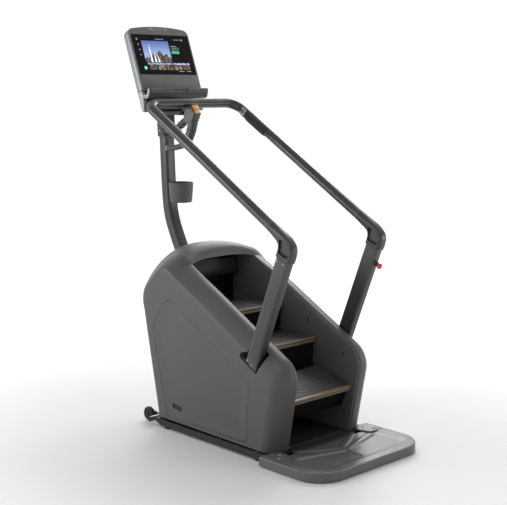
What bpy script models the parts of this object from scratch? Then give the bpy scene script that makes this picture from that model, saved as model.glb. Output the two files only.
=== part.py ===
"""Stair climber: a revolving staircase between two covered side frames, with handrails and a console.

Metres, +Z up.  The user stands at -Y and faces +Y.  X = 0 is the symmetry plane.
Shapes are written in the machine's own frame; the empty "machine" then puts the
middle of the footprint over the origin.
"""
import bpy
import bmesh
import math
from mathutils import Vector, Matrix

# ---------------------------------------------------------------- driving dimensions
FRONT_Y = -0.800            # front edge of the entry platform
REAR_Y = 0.872              # rearmost point, the console's back
GAP = 0.0004                # clearance between pieces that touch

OUTER_X = 0.343             # outer face of the side panels
SKIN = 0.004                # thickness of the plastic covers
WALL_X = 0.218              # inner face of the walls beside the steps
WALL = 0.005
COVER_Z = 0.050             # lower edge of the covers

INCLINE = math.radians(31.2)
PITCH = 0.282               # chain length between two steps
SPROCKET_R = 0.090
LOWER_AXLE = (-0.195, 0.2407)
STEP_1_PAST = 0.3665        # how far the lowest step has turned round the lower axle
NOSE_ALONG = -0.1166        # step nose from its chain point, along and away from the chain
NOSE_OUT = 0.1423
RUN = (1.692 - 2 * math.pi * SPROCKET_R) / 2
STEP_HALF = 0.203
OPEN_STEP_HALF = 0.216
TREAD = 0.218
NOSING = 0.024
RISER = 0.128

WHEEL = (0.536, 0.0402)

RAIL_R = 0.0245
RAIL_X = 0.313
BAR_Y, BAR_Z = 0.525, 1.703
POST_X = 0.318
POST_LEAN = math.radians(20.3)
POST_MID = (-0.300, 0.500)
ELBOW_LOW = 0.985           # height of the post's top
CONSOLE_TILT = math.radians(20.7)
SCREEN_LOW = (0.718, 1.858)
SCREEN = (0.398, 0.229)
GRIP_X = -0.030

# side view corners (y, z, radius): the crease of the side panel and the edge of the stairwell
SIDE = [(-0.376, COVER_Z, 0), (-0.440, 0.414, 0.09), (0.3856, 0.8804, 0.085),
        (0.5685, 0.693, 0.125), (0.431, COVER_Z, 0)]
WELL = [(-0.426, COVER_Z, 0), (-0.498, 0.459, 0.11), (0.300, 0.8935, 0)]
SEAM_Y = 0.300              # where the shoulders meet the hood
SEAM = [(0.0, 0.897), (0.08, 0.896), (0.16, 0.892), (0.2235, 0.890), (0.252, 0.893),
        (0.305, 0.872), (0.343, 0.832)]


# ---------------------------------------------------------------- scene, materials, helpers
def clear():
    for thing in list(bpy.data.objects):
        bpy.data.objects.remove(thing, do_unlink=True)


MATERIALS = {}


def material(name):
    return MATERIALS[name]


def make_materials():
    table = [("cover", (0.115, 0.110, 0.104), 0.45, 0.0), ("dark_cover", (0.035, 0.035, 0.036), 0.5, 0.0),
             ("rail_paint", (0.060, 0.061, 0.063), 0.35, 0.3), ("frame_steel", (0.05, 0.05, 0.052), 0.45, 0.6),
             ("tread", (0.045, 0.045, 0.047), 0.6, 0.0), ("nosing", (0.45, 0.27, 0.12), 0.45, 0.0),
             ("rubber", (0.02, 0.02, 0.02), 0.8, 0.0), ("platform", (0.085, 0.085, 0.087), 0.5, 0.0),
             ("silver", (0.55, 0.56, 0.57), 0.3, 0.9), ("steel", (0.5, 0.5, 0.5), 0.3, 1.0),
             ("orange", (0.85, 0.33, 0.03), 0.35, 0.0), ("red", (0.75, 0.03, 0.03), 0.3, 0.0),
             ("console", (0.13, 0.13, 0.135), 0.4, 0.1), ("glass", (0.01, 0.01, 0.012), 0.08, 0.0),
             ("sensor", (0.6, 0.58, 0.55), 0.25, 0.9)]
    for name, colour, rough, metal in table:
        entry = bpy.data.materials.new(name)
        entry.use_nodes = True
        shader = entry.node_tree.nodes["Principled BSDF"]
        shader.inputs["Base Color"].default_value = (*colour, 1)
        shader.inputs["Roughness"].default_value = rough
        shader.inputs["Metallic"].default_value = metal
        MATERIALS[name] = entry


def place(name, mesh, finish, origin=(0, 0, 0)):
    """One named object; origin is where its own origin goes in the machine's frame."""
    mesh.transform(Matrix.Translation(-Vector(origin)))
    thing = bpy.data.objects.new(name, mesh)
    thing.data.materials.append(material(finish))
    thing.location = origin
    thing.parent = MACHINE
    bpy.context.collection.objects.link(thing)
    return thing


def mesh_from(name, verts, faces):
    mesh = bpy.data.meshes.new(name)
    mesh.from_pydata([tuple(v) for v in verts], [], faces)
    work = bmesh.new()
    work.from_mesh(mesh)
    bmesh.ops.recalc_face_normals(work, faces=work.faces)
    work.to_mesh(mesh)
    work.free()
    return mesh


def join_meshes(name, meshes):
    """Several closed bodies in one mesh."""
    work = bmesh.new()
    for mesh in meshes:
        work.from_mesh(mesh)
    joined = bpy.data.meshes.new(name)
    work.to_mesh(joined)
    work.free()
    return joined


def loft(name, rings, closed=False):
    """Skin through rings of equal length; the ends are capped unless the rings close on themselves."""
    count = len(rings[0])
    verts = [p for ring in rings for p in ring]
    faces = []
    last = len(rings) if closed else len(rings) - 1
    for i in range(last):
        a, b = i * count, ((i + 1) % len(rings)) * count
        for j in range(count):
            k = (j + 1) % count
            faces.append((a + j, a + k, b + k, b + j))
    if not closed:
        faces.append(tuple(range(count)))
        faces.append(tuple(range((len(rings) - 1) * count, len(rings) * count)))
    return mesh_from(name, verts, faces)


def prism(name, outline, x0, x1):
    """Side-view outline (y, z) drawn out along X."""
    return loft(name, [[(x, y, z) for y, z in outline] for x in (x0, x1)])


def slab(name, low, high):
    return prism(name, [(low[1], low[2]), (high[1], low[2]), (high[1], high[2]), (low[1], high[2])],
                 low[0], high[0])


def turned(name, profile, centre, sides=24):
    """Solid of revolution about an X axis through centre (y, z); profile is (x, radius)."""
    rings = []
    for x, radius in profile:
        rings.append([(x, centre[0] + radius * math.cos(2 * math.pi * i / sides),
                       centre[1] + radius * math.sin(2 * math.pi * i / sides)) for i in range(sides)])
    return loft(name, rings)


def ring_about(profile, centre, sides):
    """Closed section (x, radius) turned about an X axis."""
    rings = []
    for i in range(sides):
        c, s = math.cos(2 * math.pi * i / sides), math.sin(2 * math.pi * i / sides)
        rings.append([(x, centre[0] + r * c, centre[1] + r * s) for x, r in profile])
    return loft("ring", rings, closed=True)


def collar(name, centre, inner, outer, x0, x1, sides=24):
    """A ring about an X axis."""
    return ring_about([(x0, inner), (x0, outer), (x1, outer), (x1, inner)], centre, sides)


def rod(name, start, end, radius, sides=12):
    start, end = Vector(start), Vector(end)
    turn = (end - start).to_track_quat("Z", "Y")
    rings = []
    for spot in (start, end):
        rings.append([spot + turn @ Vector((radius * math.cos(2 * math.pi * i / sides),
                                            radius * math.sin(2 * math.pi * i / sides), 0)) for i in range(sides)])
    return loft(name, rings)


def rounded(corners, steps=5):
    """Polyline through (y, z, radius) corners with arcs at the corners that have a radius."""
    line = []
    for i, (y, z, radius) in enumerate(corners):
        here = Vector((y, z))
        if not radius:
            line.append(here)
            continue
        back = (Vector(corners[i - 1][:2]) - here).normalized()
        ahead = (Vector(corners[(i + 1) % len(corners)][:2]) - here).normalized()
        half = back.angle(ahead) / 2
        centre = here + (back + ahead).normalized() * radius / math.sin(half)
        start = here + back * radius / math.tan(half) - centre
        end = here + ahead * radius / math.tan(half) - centre
        sweep = start.angle_signed(end)
        for k in range(steps + 1):
            angle = -sweep * k / steps
            turn = Matrix.Rotation(angle, 2)
            line.append(centre + turn @ start)
    return line


def sweep(name, path, section, side=Vector((1, 0, 0))):
    """Section (across, out) carried along a path; across keeps as near to side as it can."""
    path = [Vector(p) for p in path]
    rings = []
    for i, spot in enumerate(path):
        ahead = path[min(i + 1, len(path) - 1)] - path[max(i - 1, 0)]
        ahead.normalize()
        across = (side - ahead * side.dot(ahead)).normalized()
        out = ahead.cross(across)
        size = section(i) if callable(section) else section
        rings.append([spot + across * a + out * b for a, b in size])
    return loft(name, rings)


def oval(width, depth, sides=16, squareness=4.0):
    """Rounded rectangle section as a superellipse."""
    points = []
    for i in range(sides):
        angle = 2 * math.pi * (i + 0.5) / sides
        c, s = math.cos(angle), math.sin(angle)
        points.append((width / 2 * math.copysign(abs(c) ** (2 / squareness), c),
                       depth / 2 * math.copysign(abs(s) ** (2 / squareness), s)))
    return points


def shell(thing, thickness, offset=-1):
    skin = thing.modifiers.new("skin", "SOLIDIFY")
    skin.thickness = thickness
    skin.offset = offset
    skin.use_even_offset = True


def cut(thing, cutter_mesh, label):
    """Boolean difference with a hidden cutter."""
    cutter = bpy.data.objects.new(label, cutter_mesh)
    cutter.parent = MACHINE
    cutter.hide_render = True
    cutter.display_type = "WIRE"
    bpy.context.collection.objects.link(cutter)
    step = thing.modifiers.new(label, "BOOLEAN")
    step.operation = "DIFFERENCE"
    step.solver = "EXACT"
    step.object = cutter


def smooth(thing, angle=40):
    thing.data.shade_smooth()
    thing.data.set_sharp_from_angle(angle=math.radians(angle))


def surface(name, rows):
    """Open quad surface through rows of points."""
    count = len(rows[0])
    verts = [p for row in rows for p in row]
    faces = [(i * count + j, i * count + j + 1, (i + 1) * count + j + 1, (i + 1) * count + j)
             for i in range(len(rows) - 1) for j in range(count - 1)]
    return mesh_from(name, verts, faces)


# ---------------------------------------------------------------- the stair loop
ALONG = Vector((math.cos(INCLINE), math.sin(INCLINE)))
OUT = Vector((-math.sin(INCLINE), math.cos(INCLINE)))
LOWER = Vector(LOWER_AXLE)
TANGENT = LOWER + OUT * SPROCKET_R
UPPER = LOWER + ALONG * RUN


def loop_point(travel):
    """Chain point and turn for a distance along the chain from the lower tangent, going up."""
    arc = math.pi * SPROCKET_R
    if travel < 0:
        turn = -travel / SPROCKET_R
        return LOWER + Matrix.Rotation(turn, 2) @ (OUT * SPROCKET_R), turn
    if travel <= RUN:
        return TANGENT + ALONG * travel, 0.0
    if travel <= RUN + arc:
        turn = -(travel - RUN) / SPROCKET_R
        return UPPER + Matrix.Rotation(turn, 2) @ (OUT * SPROCKET_R), turn
    back = travel - RUN - arc
    return UPPER - OUT * SPROCKET_R - ALONG * back, -math.pi


def step_outline():
    """Tread and riser in one L, from the nose; the nosing strip fills the front corner."""
    front = 0.0204
    return [(front, 0), (TREAD, 0), (TREAD, -NOSING), (0.034, -NOSING), (0.034, -RISER),
            (0.024, -RISER), (0.024, -0.034), (front, -0.034)]


def nosing_outline():
    """Two proud strips with a groove between them."""
    return [(0.020, -0.0335), (0.020, -0.0004), (0.0, -0.0004), (0.0, -0.0095), (0.004, -0.0105),
            (0.004, -0.0135), (0.0, -0.0145), (0.0, -0.0235), (0.012, -0.0335)]


def folded_outline():
    """A step folded flat for the way back: the riser lies under the tread."""
    return [(0, 0), (TREAD, 0), (TREAD, -0.040), (0.105, -0.040), (0.105, -0.031),
            (TREAD - 0.010, -0.031), (TREAD - 0.010, -0.026), (0, -0.026)]


def build_steps():
    first = -STEP_1_PAST * SPROCKET_R
    for number in range(1, 7):
        chain_point, turn = loop_point(first + (number - 1) * PITCH)
        rotation = Matrix.Rotation(turn, 2)
        origin = (0, 0, 0)
        if number == 1:
            origin = (0, *LOWER)
        elif number == 4:
            origin = (0, *UPPER)
        if number <= 3:
            nose = chain_point + rotation @ (ALONG * NOSE_ALONG + OUT * NOSE_OUT)
            pieces = [("step", step_outline(), "tread"), ("nosing", nosing_outline(), "nosing")]
        else:
            rotation = rotation @ Matrix.Rotation(INCLINE, 2)
            nose = chain_point + rotation @ Vector((-TREAD / 2, 0.020))
            pieces = [("step", folded_outline(), "tread")]
        for label, outline, finish in pieces:
            turned_outline = [nose + rotation @ Vector(p) for p in outline]
            half = OPEN_STEP_HALF if number <= 3 else STEP_HALF
            mesh = prism(label, turned_outline, -half, half)
            place("%s_%d" % (label, number), mesh, finish, origin)


def band(name, circles, thickness, x0, x1, sides=14):
    """Closed band round two circles (centre, radius), the second one nearer -Y."""
    (c1, r1), (c2, r2) = circles
    gap = c2 - c1
    base = math.atan2(gap.y, gap.x)
    lean = math.acos((r1 - r2) / gap.length)
    inside, outside = [], []
    for centre, radius, start, end in ((c1, r1, base + lean, base + 2 * math.pi - lean),
                                       (c2, r2, base - lean, base + lean)):
        for k in range(sides + 1):
            angle = start + (end - start) * k / sides
            way = Vector((math.cos(angle), math.sin(angle)))
            inside.append(centre + way * radius)
            outside.append(centre + way * (radius + thickness))
    rings = [[(x0, *a), (x1, *a), (x1, *b), (x0, *b)] for a, b in zip(inside, outside)]
    return loft(name, rings, closed=True)


def build_drive():
    for label, centre in (("upper_shaft", UPPER), ("lower_shaft", LOWER)):
        profile = [(-0.300, 0.014)]
        for side in (-1, 1):
            near, far = (-0.2135, -0.2065) if side < 0 else (0.2065, 0.2135)
            profile += [(near, 0.014), (near, 0.0816), (far, 0.0816), (far, 0.014)]
        profile += [(0.300, 0.014)]
        smooth(place(label, turned(label, profile, centre), "steel", (0, *centre)))
    for label, centre in (("upper", UPPER), ("lower", LOWER)):
        for side, hand in ((-1, "left"), (1, "right")):
            x0, x1 = sorted((side * 0.2466, side * 0.2640))
            ring = collar("bearing", centre, 0.0142, 0.032, x0, x1, 24)
            smooth(place("%s_bearing_%s" % (label, hand), ring, "steel"))
    for side, hand in ((-1, "left"), (1, "right")):
        x0, x1 = sorted((side * 0.2065, side * 0.2135))
        loop = band("chain", ((UPPER, 0.0825), (LOWER, 0.0825)), 0.013, x0, x1)
        smooth(place("step_chain_" + hand, loop, "frame_steel"))
    brake = Vector((0.350, 0.170))
    profile = [(0.266, 0.0143), (0.266, 0.1240), (0.286, 0.1240), (0.286, 0.0143)]
    smooth(place("drive_pulley", ring_about(profile, UPPER, 32), "steel", (0, *UPPER)))
    rotor = [(0.2301, 0.009), (0.262, 0.009), (0.262, 0.027), (0.290, 0.027)]
    smooth(place("brake_rotor", turned("brake_rotor", rotor, brake, 20), "steel", (0, *brake)))
    body = [(0.050, 0.050), (0.060, 0.062), (0.200, 0.062), (0.202, 0.040), (0.2296, 0.040)]
    smooth(place("brake_unit", turned("brake_unit", body, brake, 24), "frame_steel"))
    belt = band("drive_belt", ((UPPER, 0.1256), (brake, 0.0278)), 0.004, 0.268, 0.284, 24)
    smooth(place("drive_belt", belt, "rubber"))
    return brake


# ---------------------------------------------------------------- base and inner frame
def build_base(brake):
    tubes = []
    for side in (-1, 1):
        x0, x1 = sorted((side * 0.290, side * 0.346))
        outline = [(-0.470, 0.012), (0.400, 0.012), (0.440, 0.026), (0.440, 0.0455), (-0.470, 0.0455)]
        tubes.append(prism("rail", outline, x0, x1))
    base = place("base_frame", tubes[0], "rail_paint")
    union(base, tubes[1], "right_rail")
    for side, label in ((-1, "left"), (1, "right")):
        x0, x1 = sorted((side * 0.286, side * 0.2994))
        outline = [(0.420, 0.018), (0.420, 0.044), (0.4404, 0.0455), (0.520, 0.056), (0.548, 0.050), (0.548, 0.030),
                   (0.520, 0.022)]
        union(base, prism("arm", outline, x0, x1), label + "_wheel_arm")
        pin = turned("pin", [(side * 0.290, 0.006), (side * 0.3262, 0.006), (side * 0.3262, 0.009),
                             (side * 0.331, 0.009)], WHEEL, 24)
        union(base, pin, label + "_wheel_pin")
    for label, y in (("front_member", -0.420), ("middle_member", -0.020), ("rear_member", 0.390)):
        union(base, slab(label, (-0.300, y - 0.025, 0.0122), (0.300, y + 0.025, 0.0448)), label)
    cut(base, rod("bar_hole", (-0.4, 0.470, 0.034), (0.4, 0.470, 0.034), 0.0145, 16), "stabilizer_hole")
    for side, label in ((-1, "left"), (1, "right")):
        for y, end in ((-0.330, "front"), (0.360, "rear")):
            foot = rod("foot", (side * 0.318, y, 0.0), (side * 0.318, y, 0.020), 0.024, 20)
            union(base, foot, "%s_%s_foot" % (end, label))
    bar = rod("bar", (-0.362, 0.470, 0.034), (0.362, 0.470, 0.034), 0.014, 16)
    smooth(place("rear_stabilizer", bar, "silver"))
    outline = [(-0.300, 0.0459), (0.430, 0.0459), (0.470, 0.560), (0.360, 0.600), (0.250, 0.600), (-0.270, 0.300)]
    frame = place("drive_frame", prism("plate", outline, 0.2300, 0.2460), "frame_steel")
    union(frame, prism("plate", outline, -0.2460, -0.2300), "left_plate")
    for label, y, z in (("low_tie", 0.365, 0.075), ("high_tie", 0.418, 0.370)):
        union(frame, rod("tie", (-0.238, y, z), (0.238, y, z), 0.010, 12), label)
    holes = [rod("hole", (-0.26, *UPPER), (0.26, *UPPER), 0.016, 16),
             rod("hole", (-0.26, *LOWER), (0.26, *LOWER), 0.016, 16)]
    cut(frame, join_meshes("shaft_holes", holes), "shaft_holes")
    cut(frame, rod("hole", (0.20, *brake), (0.26, *brake), 0.012, 16), "brake_hole")
    return holes


def union(thing, mesh, label):
    other = bpy.data.objects.new(label, mesh)
    other.parent = MACHINE
    other.hide_render = True
    other.display_type = "WIRE"
    bpy.context.collection.objects.link(other)
    step = thing.modifiers.new(label, "BOOLEAN")
    step.operation = "UNION"
    step.solver = "EXACT"
    step.object = other


def build_wheels():
    for side, label in ((-1, "left"), (1, "right")):
        x0, x1 = sorted((side * 0.300, side * 0.326))
        centre = WHEEL
        tyre = [(x0, 0.00608), (x0, 0.030), (x0 + 0.004, 0.038), (x1 - 0.004, 0.038), (x1, 0.030), (x1, 0.00608)]
        wheel = ring_about(tyre, centre, 24)
        smooth(place("transport_wheel_" + label, wheel, "rubber", (0, *centre)))


def build_platform():
    half, corner = 0.392, 0.150
    outline = [(-half, -0.400)]
    for side, start in ((-1, math.pi), (1, 1.5 * math.pi)):
        for k in range(9):
            angle = start + k * math.pi / 16
            outline.append((side * (half - corner) + corner * math.cos(angle),
                            FRONT_Y + corner + corner * math.sin(angle)))
    outline.append((half, -0.400))
    low = [(x, y, 0.004) for x, y in outline]
    edge = [(x, y, 0.044) for x, y in outline]
    top = [(x * 0.985, max(y, FRONT_Y + 0.006) if y < -0.6 else y, 0.050) for x, y in outline]
    platform = place("entry_platform", loft("entry_platform", [low, edge, top]), "platform")
    cut(platform, slab("tray", (-0.30, -0.70, 0.044), (0.30, -0.38, 0.06)), "mat_recess")
    cut(platform, slab("under", (-0.3465, -0.4715, 0.0), (0.3465, -0.36, 0.0459)), "frame_recess")
    for k in range(-3, 4):
        lean, x = k * 0.020, k * 0.080
        outline = [(x - 0.006, -0.702), (x + 0.006, -0.702), (x + 0.006 - lean, -0.470), (x - 0.006 - lean, -0.470)]
        rib = loft("rib", [[(a, b, z) for a, b in outline] for z in (0.0435, 0.0492)])
        union(platform, rib, "rib_%d" % (k + 4))
    union(platform, slab("pan", (-0.2170, -0.480, 0.0460), (0.2170, 0.340, 0.0490)), "pan")


# ---------------------------------------------------------------- covers
def well_path():
    return rounded(WELL, 6)


def side_path():
    front = rounded(SIDE[:3] + [SIDE[3]], 6)[:8]
    slope = Vector(SIDE[2][:2]) - Vector(SIDE[1][:2])
    end = Vector(SIDE[1][:2]) + slope * (SEAM_Y - SIDE[1][0]) / slope.x
    return front + [end]


def post_pocket(side):
    outline = [(-0.185, 0.560), (-0.198, 0.477), (-0.304, 0.4225), (-0.379, 0.485), (-0.405, 0.570), (-0.300, 0.640)]
    x0, x1 = sorted((side * 0.286, side * 0.360))
    return prism("pocket", outline, x0, x1)


def build_side(side, label):
    outline = rounded(SIDE, 6)
    x0, x1 = sorted((side * (OUTER_X - SKIN), side * OUTER_X))
    panel = place("side_panel_" + label, prism("panel", outline, x0, x1), "cover")
    window = rounded([(-0.258, 0.072, 0.02), (-0.280, 0.375, 0.03), (0.335, 0.715, 0.05),
                      (0.462, 0.545, 0.08), (0.345, 0.072, 0.02)], 3)
    cut(panel, prism("window", window, x0 - 0.01, x1 + 0.01), label + "_window")
    cut(panel, post_pocket(side), label + "_panel_pocket")
    inner = rounded([(-0.2565, 0.0735, 0.019), (-0.2785, 0.374, 0.029), (0.3345, 0.7128, 0.049),
                     (0.4602, 0.5448, 0.079), (0.3438, 0.0735, 0.019)], 3)
    door = place("access_panel_" + label, prism("door", inner, x0, x1), "cover")
    cut(door, slab("pull", (min(side * 0.30, side * 0.36), 0.226, 0.124), (max(side * 0.30, side * 0.36), 0.300, 0.150)),
        label + "_pull")
    x0, x1 = sorted((side * WALL_X, side * (WALL_X + WALL)))
    wall_line = well_path() + [Vector((0.440, 0.862)), Vector((0.440, COVER_Z + 0.0004))]
    wall_line[0] = Vector((WELL[0][0], COVER_Z + 0.0004))
    wall_line[-3] = Vector((0.292, 0.882))
    wall = place("inner_wall_" + label, prism("wall", wall_line, x0, x1), "dark_cover")
    holes = [rod("hole", (side * 0.1, *spot), (side * 0.3, *spot), 0.017, 16) for spot in (UPPER, LOWER)]
    holes.append(rod("hole", (side * 0.1, 0.418, 0.370), (side * 0.3, 0.418, 0.370), 0.012, 12))
    holes.append(rod("hole", (side * 0.1, 0.365, 0.075), (side * 0.3, 0.365, 0.075), 0.012, 12))
    cut(wall, join_meshes("wall_holes", holes), label + "_wall_holes")
    if side > 0:
        cut(wall, rod("hole", (0.1, 0.350, 0.170), (0.3, 0.350, 0.170), 0.0425, 16), "brake_neck_hole")
    ridge, well = side_path(), well_path()
    rows = []
    seam = {x: z for x, z in SEAM}
    for x, blend, lift in ((0.2235, 0.0, 0.0), (0.252, 0.10, 0.014), (0.305, 0.55, 0.022), (0.343, 1.0, 0.0)):
        row = []
        for i, (a, b) in enumerate(zip(well, ridge)):
            spot = a.lerp(b, blend)
            away = Vector((-math.sin(INCLINE), math.cos(INCLINE))) if i > 1 else Vector((-1.0, 0.15))
            spot = spot + away.normalized() * lift
            if i == 0:
                spot.y = COVER_Z
            if i == len(well) - 1:
                spot = Vector((SEAM_Y, seam[x]))
            row.append((side * x, spot.x, spot.y))
        rows.append(row)
    shoulder = place("shoulder_cover_" + label, surface("shoulder", rows), "cover")
    face_out(shoulder, Vector((0, -0.4, 0.9)))
    shell(shoulder, SKIN)
    cut(shoulder, slab("trim", (min(side * 0.3385, side * 0.36), -0.6, 0.0), (max(side * 0.3385, side * 0.36), 0.6, 1.2)),
        label + "_crease_trim")
    cut(shoulder, post_pocket(side), label + "_shoulder_pocket")
    smooth(shoulder)


def face_out(thing, way):
    """Turn an open surface so that its faces look along way."""
    work = bmesh.new()
    work.from_mesh(thing.data)
    total = Vector()
    for face in work.faces:
        total += face.normal * face.calc_area()
    if total.dot(way) < 0:
        bmesh.ops.reverse_faces(work, faces=work.faces)
    work.to_mesh(thing.data)
    work.free()


# rear and top of the machine at the middle (y, z), from the stairwell's lip to the foot
REAR_MIDDLE = [(0.300, 0.897), (0.313, 0.937), (0.350, 0.962), (0.430, 0.963), (0.520, 0.944), (0.585, 0.905),
               (0.618, 0.850), (0.625, 0.780), (0.620, 0.700), (0.600, 0.560), (0.545, 0.300), (0.490, COVER_Z)]


def rear_side():
    """The same number of points down the side panel's own edge."""
    line = rounded(SIDE, 3)
    top = [p for p in line[5:]]
    return [Vector((0.300, 0.832)), Vector((0.322, 0.8445))] + top[0:4] + top[4:8] + \
           [Vector((0.490, 0.328)), Vector((0.431, COVER_Z))]


def rear_rows(first, last):
    side = rear_side()
    rows = []
    for x, seam_z in [(-x, z) for x, z in reversed(SEAM[1:])] + SEAM:
        weight = (abs(x) / OUTER_X) ** 2.2
        row = []
        shift = seam_z - (REAR_MIDDLE[0][1] * (1 - weight) + side[0].y * weight)
        for i in range(first, last):
            middle = Vector(REAR_MIDDLE[i])
            spot = middle.lerp(side[i], weight)
            spot.y += shift * max(0.0, 1 - i / 5)
            row.append((x * (1.0 if abs(x) < 0.3 else 0.9875), spot.x, spot.y))
        rows.append(row)
    return rows


def build_rear():
    rows = rear_rows(0, 8)
    rows = [[(x, y + (0.003 if i == 0 else 0), z) for i, (x, y, z) in enumerate(row)] for row in rows]
    hood = place("hood", surface("hood", rows), "cover")
    face_out(hood, Vector((0, 0.3, 1)))
    shell(hood, SKIN)
    guard_rings = []
    for row in rear_rows(0, 8)[3:-3]:
        x, y, z = row[3]
        x = max(-0.2175, min(0.2175, x))
        guard_rings.append([(x, 0.392, 0.775), (x, 0.397, 0.775), (x, y + 0.003, z - 0.002), (x, y - 0.002, z - 0.002)])
    guard = loft("guard", guard_rings)
    union(hood, guard, "guard")
    cut(hood, mast_cutter(0.003), "mast_hole")
    smooth(hood)
    rows = rear_rows(7, 12)
    rows = [[(x, y, z - (0.006 if i == 0 else 0)) for i, (x, y, z) in enumerate(row)] for row in rows]
    rear = place("rear_cover", surface("rear_cover", rows), "cover")
    face_out(rear, Vector((0, 1, 0)))
    shell(rear, SKIN)
    smooth(rear)


# ---------------------------------------------------------------- mast, handrails, console
MAST_PATH = [(0.425, 0.0465), (0.480, 0.400), (0.548, 0.740), (0.590, 0.845), (0.632, 0.920), (0.676, 1.005),
             (0.706, 1.080), (0.722, 1.160), (0.733, 1.300), (0.744, 1.520)]


def mast_cutter(grow):
    path = [(0, y, z) for y, z in MAST_PATH]
    return sweep("mast_cutter", path, oval(0.070 + 2 * grow, 0.060 + 2 * grow, 16, 5))


def build_mast():
    path = [(0, y, z) for y, z in MAST_PATH]
    smooth(place("mast", sweep("mast", path, oval(0.070, 0.060, 16, 5)), "rail_paint"))
    head = [(0, 0.7444, 1.5204), (0, 0.748, 1.600), (0, 0.752, 1.640)]
    node = place("mast_head", sweep("mast_head", head, oval(0.090, 0.070, 16, 5)), "dark_cover")
    arm = slab("arm", (-0.060, BAR_Y + RAIL_R + GAP, 1.640), (0.060, 0.755, 1.662))
    union(node, arm, "bar_bracket")
    smooth(node)
    centre = (0, 0.6255)
    rings = []
    profile = [(0.056, 1.162), (0.060, 1.168), (0.0635, 1.272), (0.0600, 1.272), (0.0565, 1.172)]
    sides = 28
    for radius, z in profile:
        rings.append([(radius * math.cos(2 * math.pi * i / sides), centre[1] + radius * math.sin(2 * math.pi * i / sides), z)
                      for i in range(sides)])
    smooth(place("cup_holder", loft("cup_holder", rings), "console"))


def rail_path(side):
    """One handrail from its elbow to the cross bar, with the bend at the top."""
    low = Vector((side * RAIL_X, -0.418, 1.126))
    corner = Vector((side * RAIL_X, BAR_Y, BAR_Z))
    back = (low - corner).normalized()
    ahead = Vector((-side, 0, 0))
    radius = 0.075
    half = back.angle(ahead) / 2
    centre = corner + (back + ahead).normalized() * radius / math.sin(half)
    start = corner + back * radius / math.tan(half) - centre
    end = corner + ahead * radius / math.tan(half) - centre
    axis = start.cross(end).normalized()
    whole = start.angle(end)
    path = [low, low.lerp(corner + back * 0.09, 0.5)]
    path += [centre + Matrix.Rotation(whole * k / 7, 3, axis) @ start for k in range(8)]
    return path


def circle(radius, sides=14):
    return [(radius * math.cos(2 * math.pi * i / sides), radius * math.sin(2 * math.pi * i / sides))
            for i in range(sides)]


def build_handrails():
    for side, label in ((-1, "left"), (1, "right")):
        path = rail_path(side) + [Vector((side * 0.0002, BAR_Y, BAR_Z))]
        rings = sweep_round("rail", path, RAIL_R, 16)
        smooth(place("handrail_" + label, rings, "rail_paint"))
    for side, label in ((-1, "left"), (1, "right")):
        low = Vector((side * RAIL_X, -0.418, 1.126))
        corner = Vector((side * RAIL_X, BAR_Y, BAR_Z))
        way = (corner - low).normalized()
        start, end = low + way * 0.800, low + way * 0.985
        sleeve = half_sleeve(start, end, side, RAIL_R + 0.0005, RAIL_R + 0.006)
        smooth(place("grip_sleeve_" + label, sleeve, "rubber"))
        plate = half_sleeve(low + way * 0.987, low + way * 1.026, side, RAIL_R + 0.0005, RAIL_R + 0.004)
        smooth(place("pulse_sensor_" + label, plate, "sensor"))


def half_sleeve(start, end, side, inner, outer, sides=8):
    """Half shell on the inner, lower side of a rail."""
    ahead = (end - start).normalized()
    across = Vector((-side, 0, 0))
    down = ahead.cross(across)
    if down.z > 0:
        down = -down
    rings = []
    for k in range(sides + 1):
        angle = math.radians(-60 + 160 * k / sides)
        way = across * math.cos(angle) + down * math.sin(angle)
        rings.append([start + way * inner, start + way * outer, end + way * outer, end + way * inner])
    return loft("half_sleeve", rings)


def sweep_round(name, path, radius, sides):
    """Round tube along a path with no twist."""
    rings = []
    normal = None
    for i, spot in enumerate(path):
        ahead = (path[min(i + 1, len(path) - 1)] - path[max(i - 1, 0)]).normalized()
        if i == len(path) - 1:
            ahead = Vector((math.copysign(1, -path[0].x), 0, 0))
        if i == 0:
            ahead = (path[1] - path[0]).normalized()
        if normal is None:
            normal = ahead.orthogonal().normalized()
        normal = (normal - ahead * normal.dot(ahead)).normalized()
        other = ahead.cross(normal)
        rings.append([spot + normal * a + other * b for a, b in circle(radius, sides)])
    return loft(name, rings)


def post_point(z):
    return POST_MID[0] - math.tan(POST_LEAN) * (z - POST_MID[1])


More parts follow.
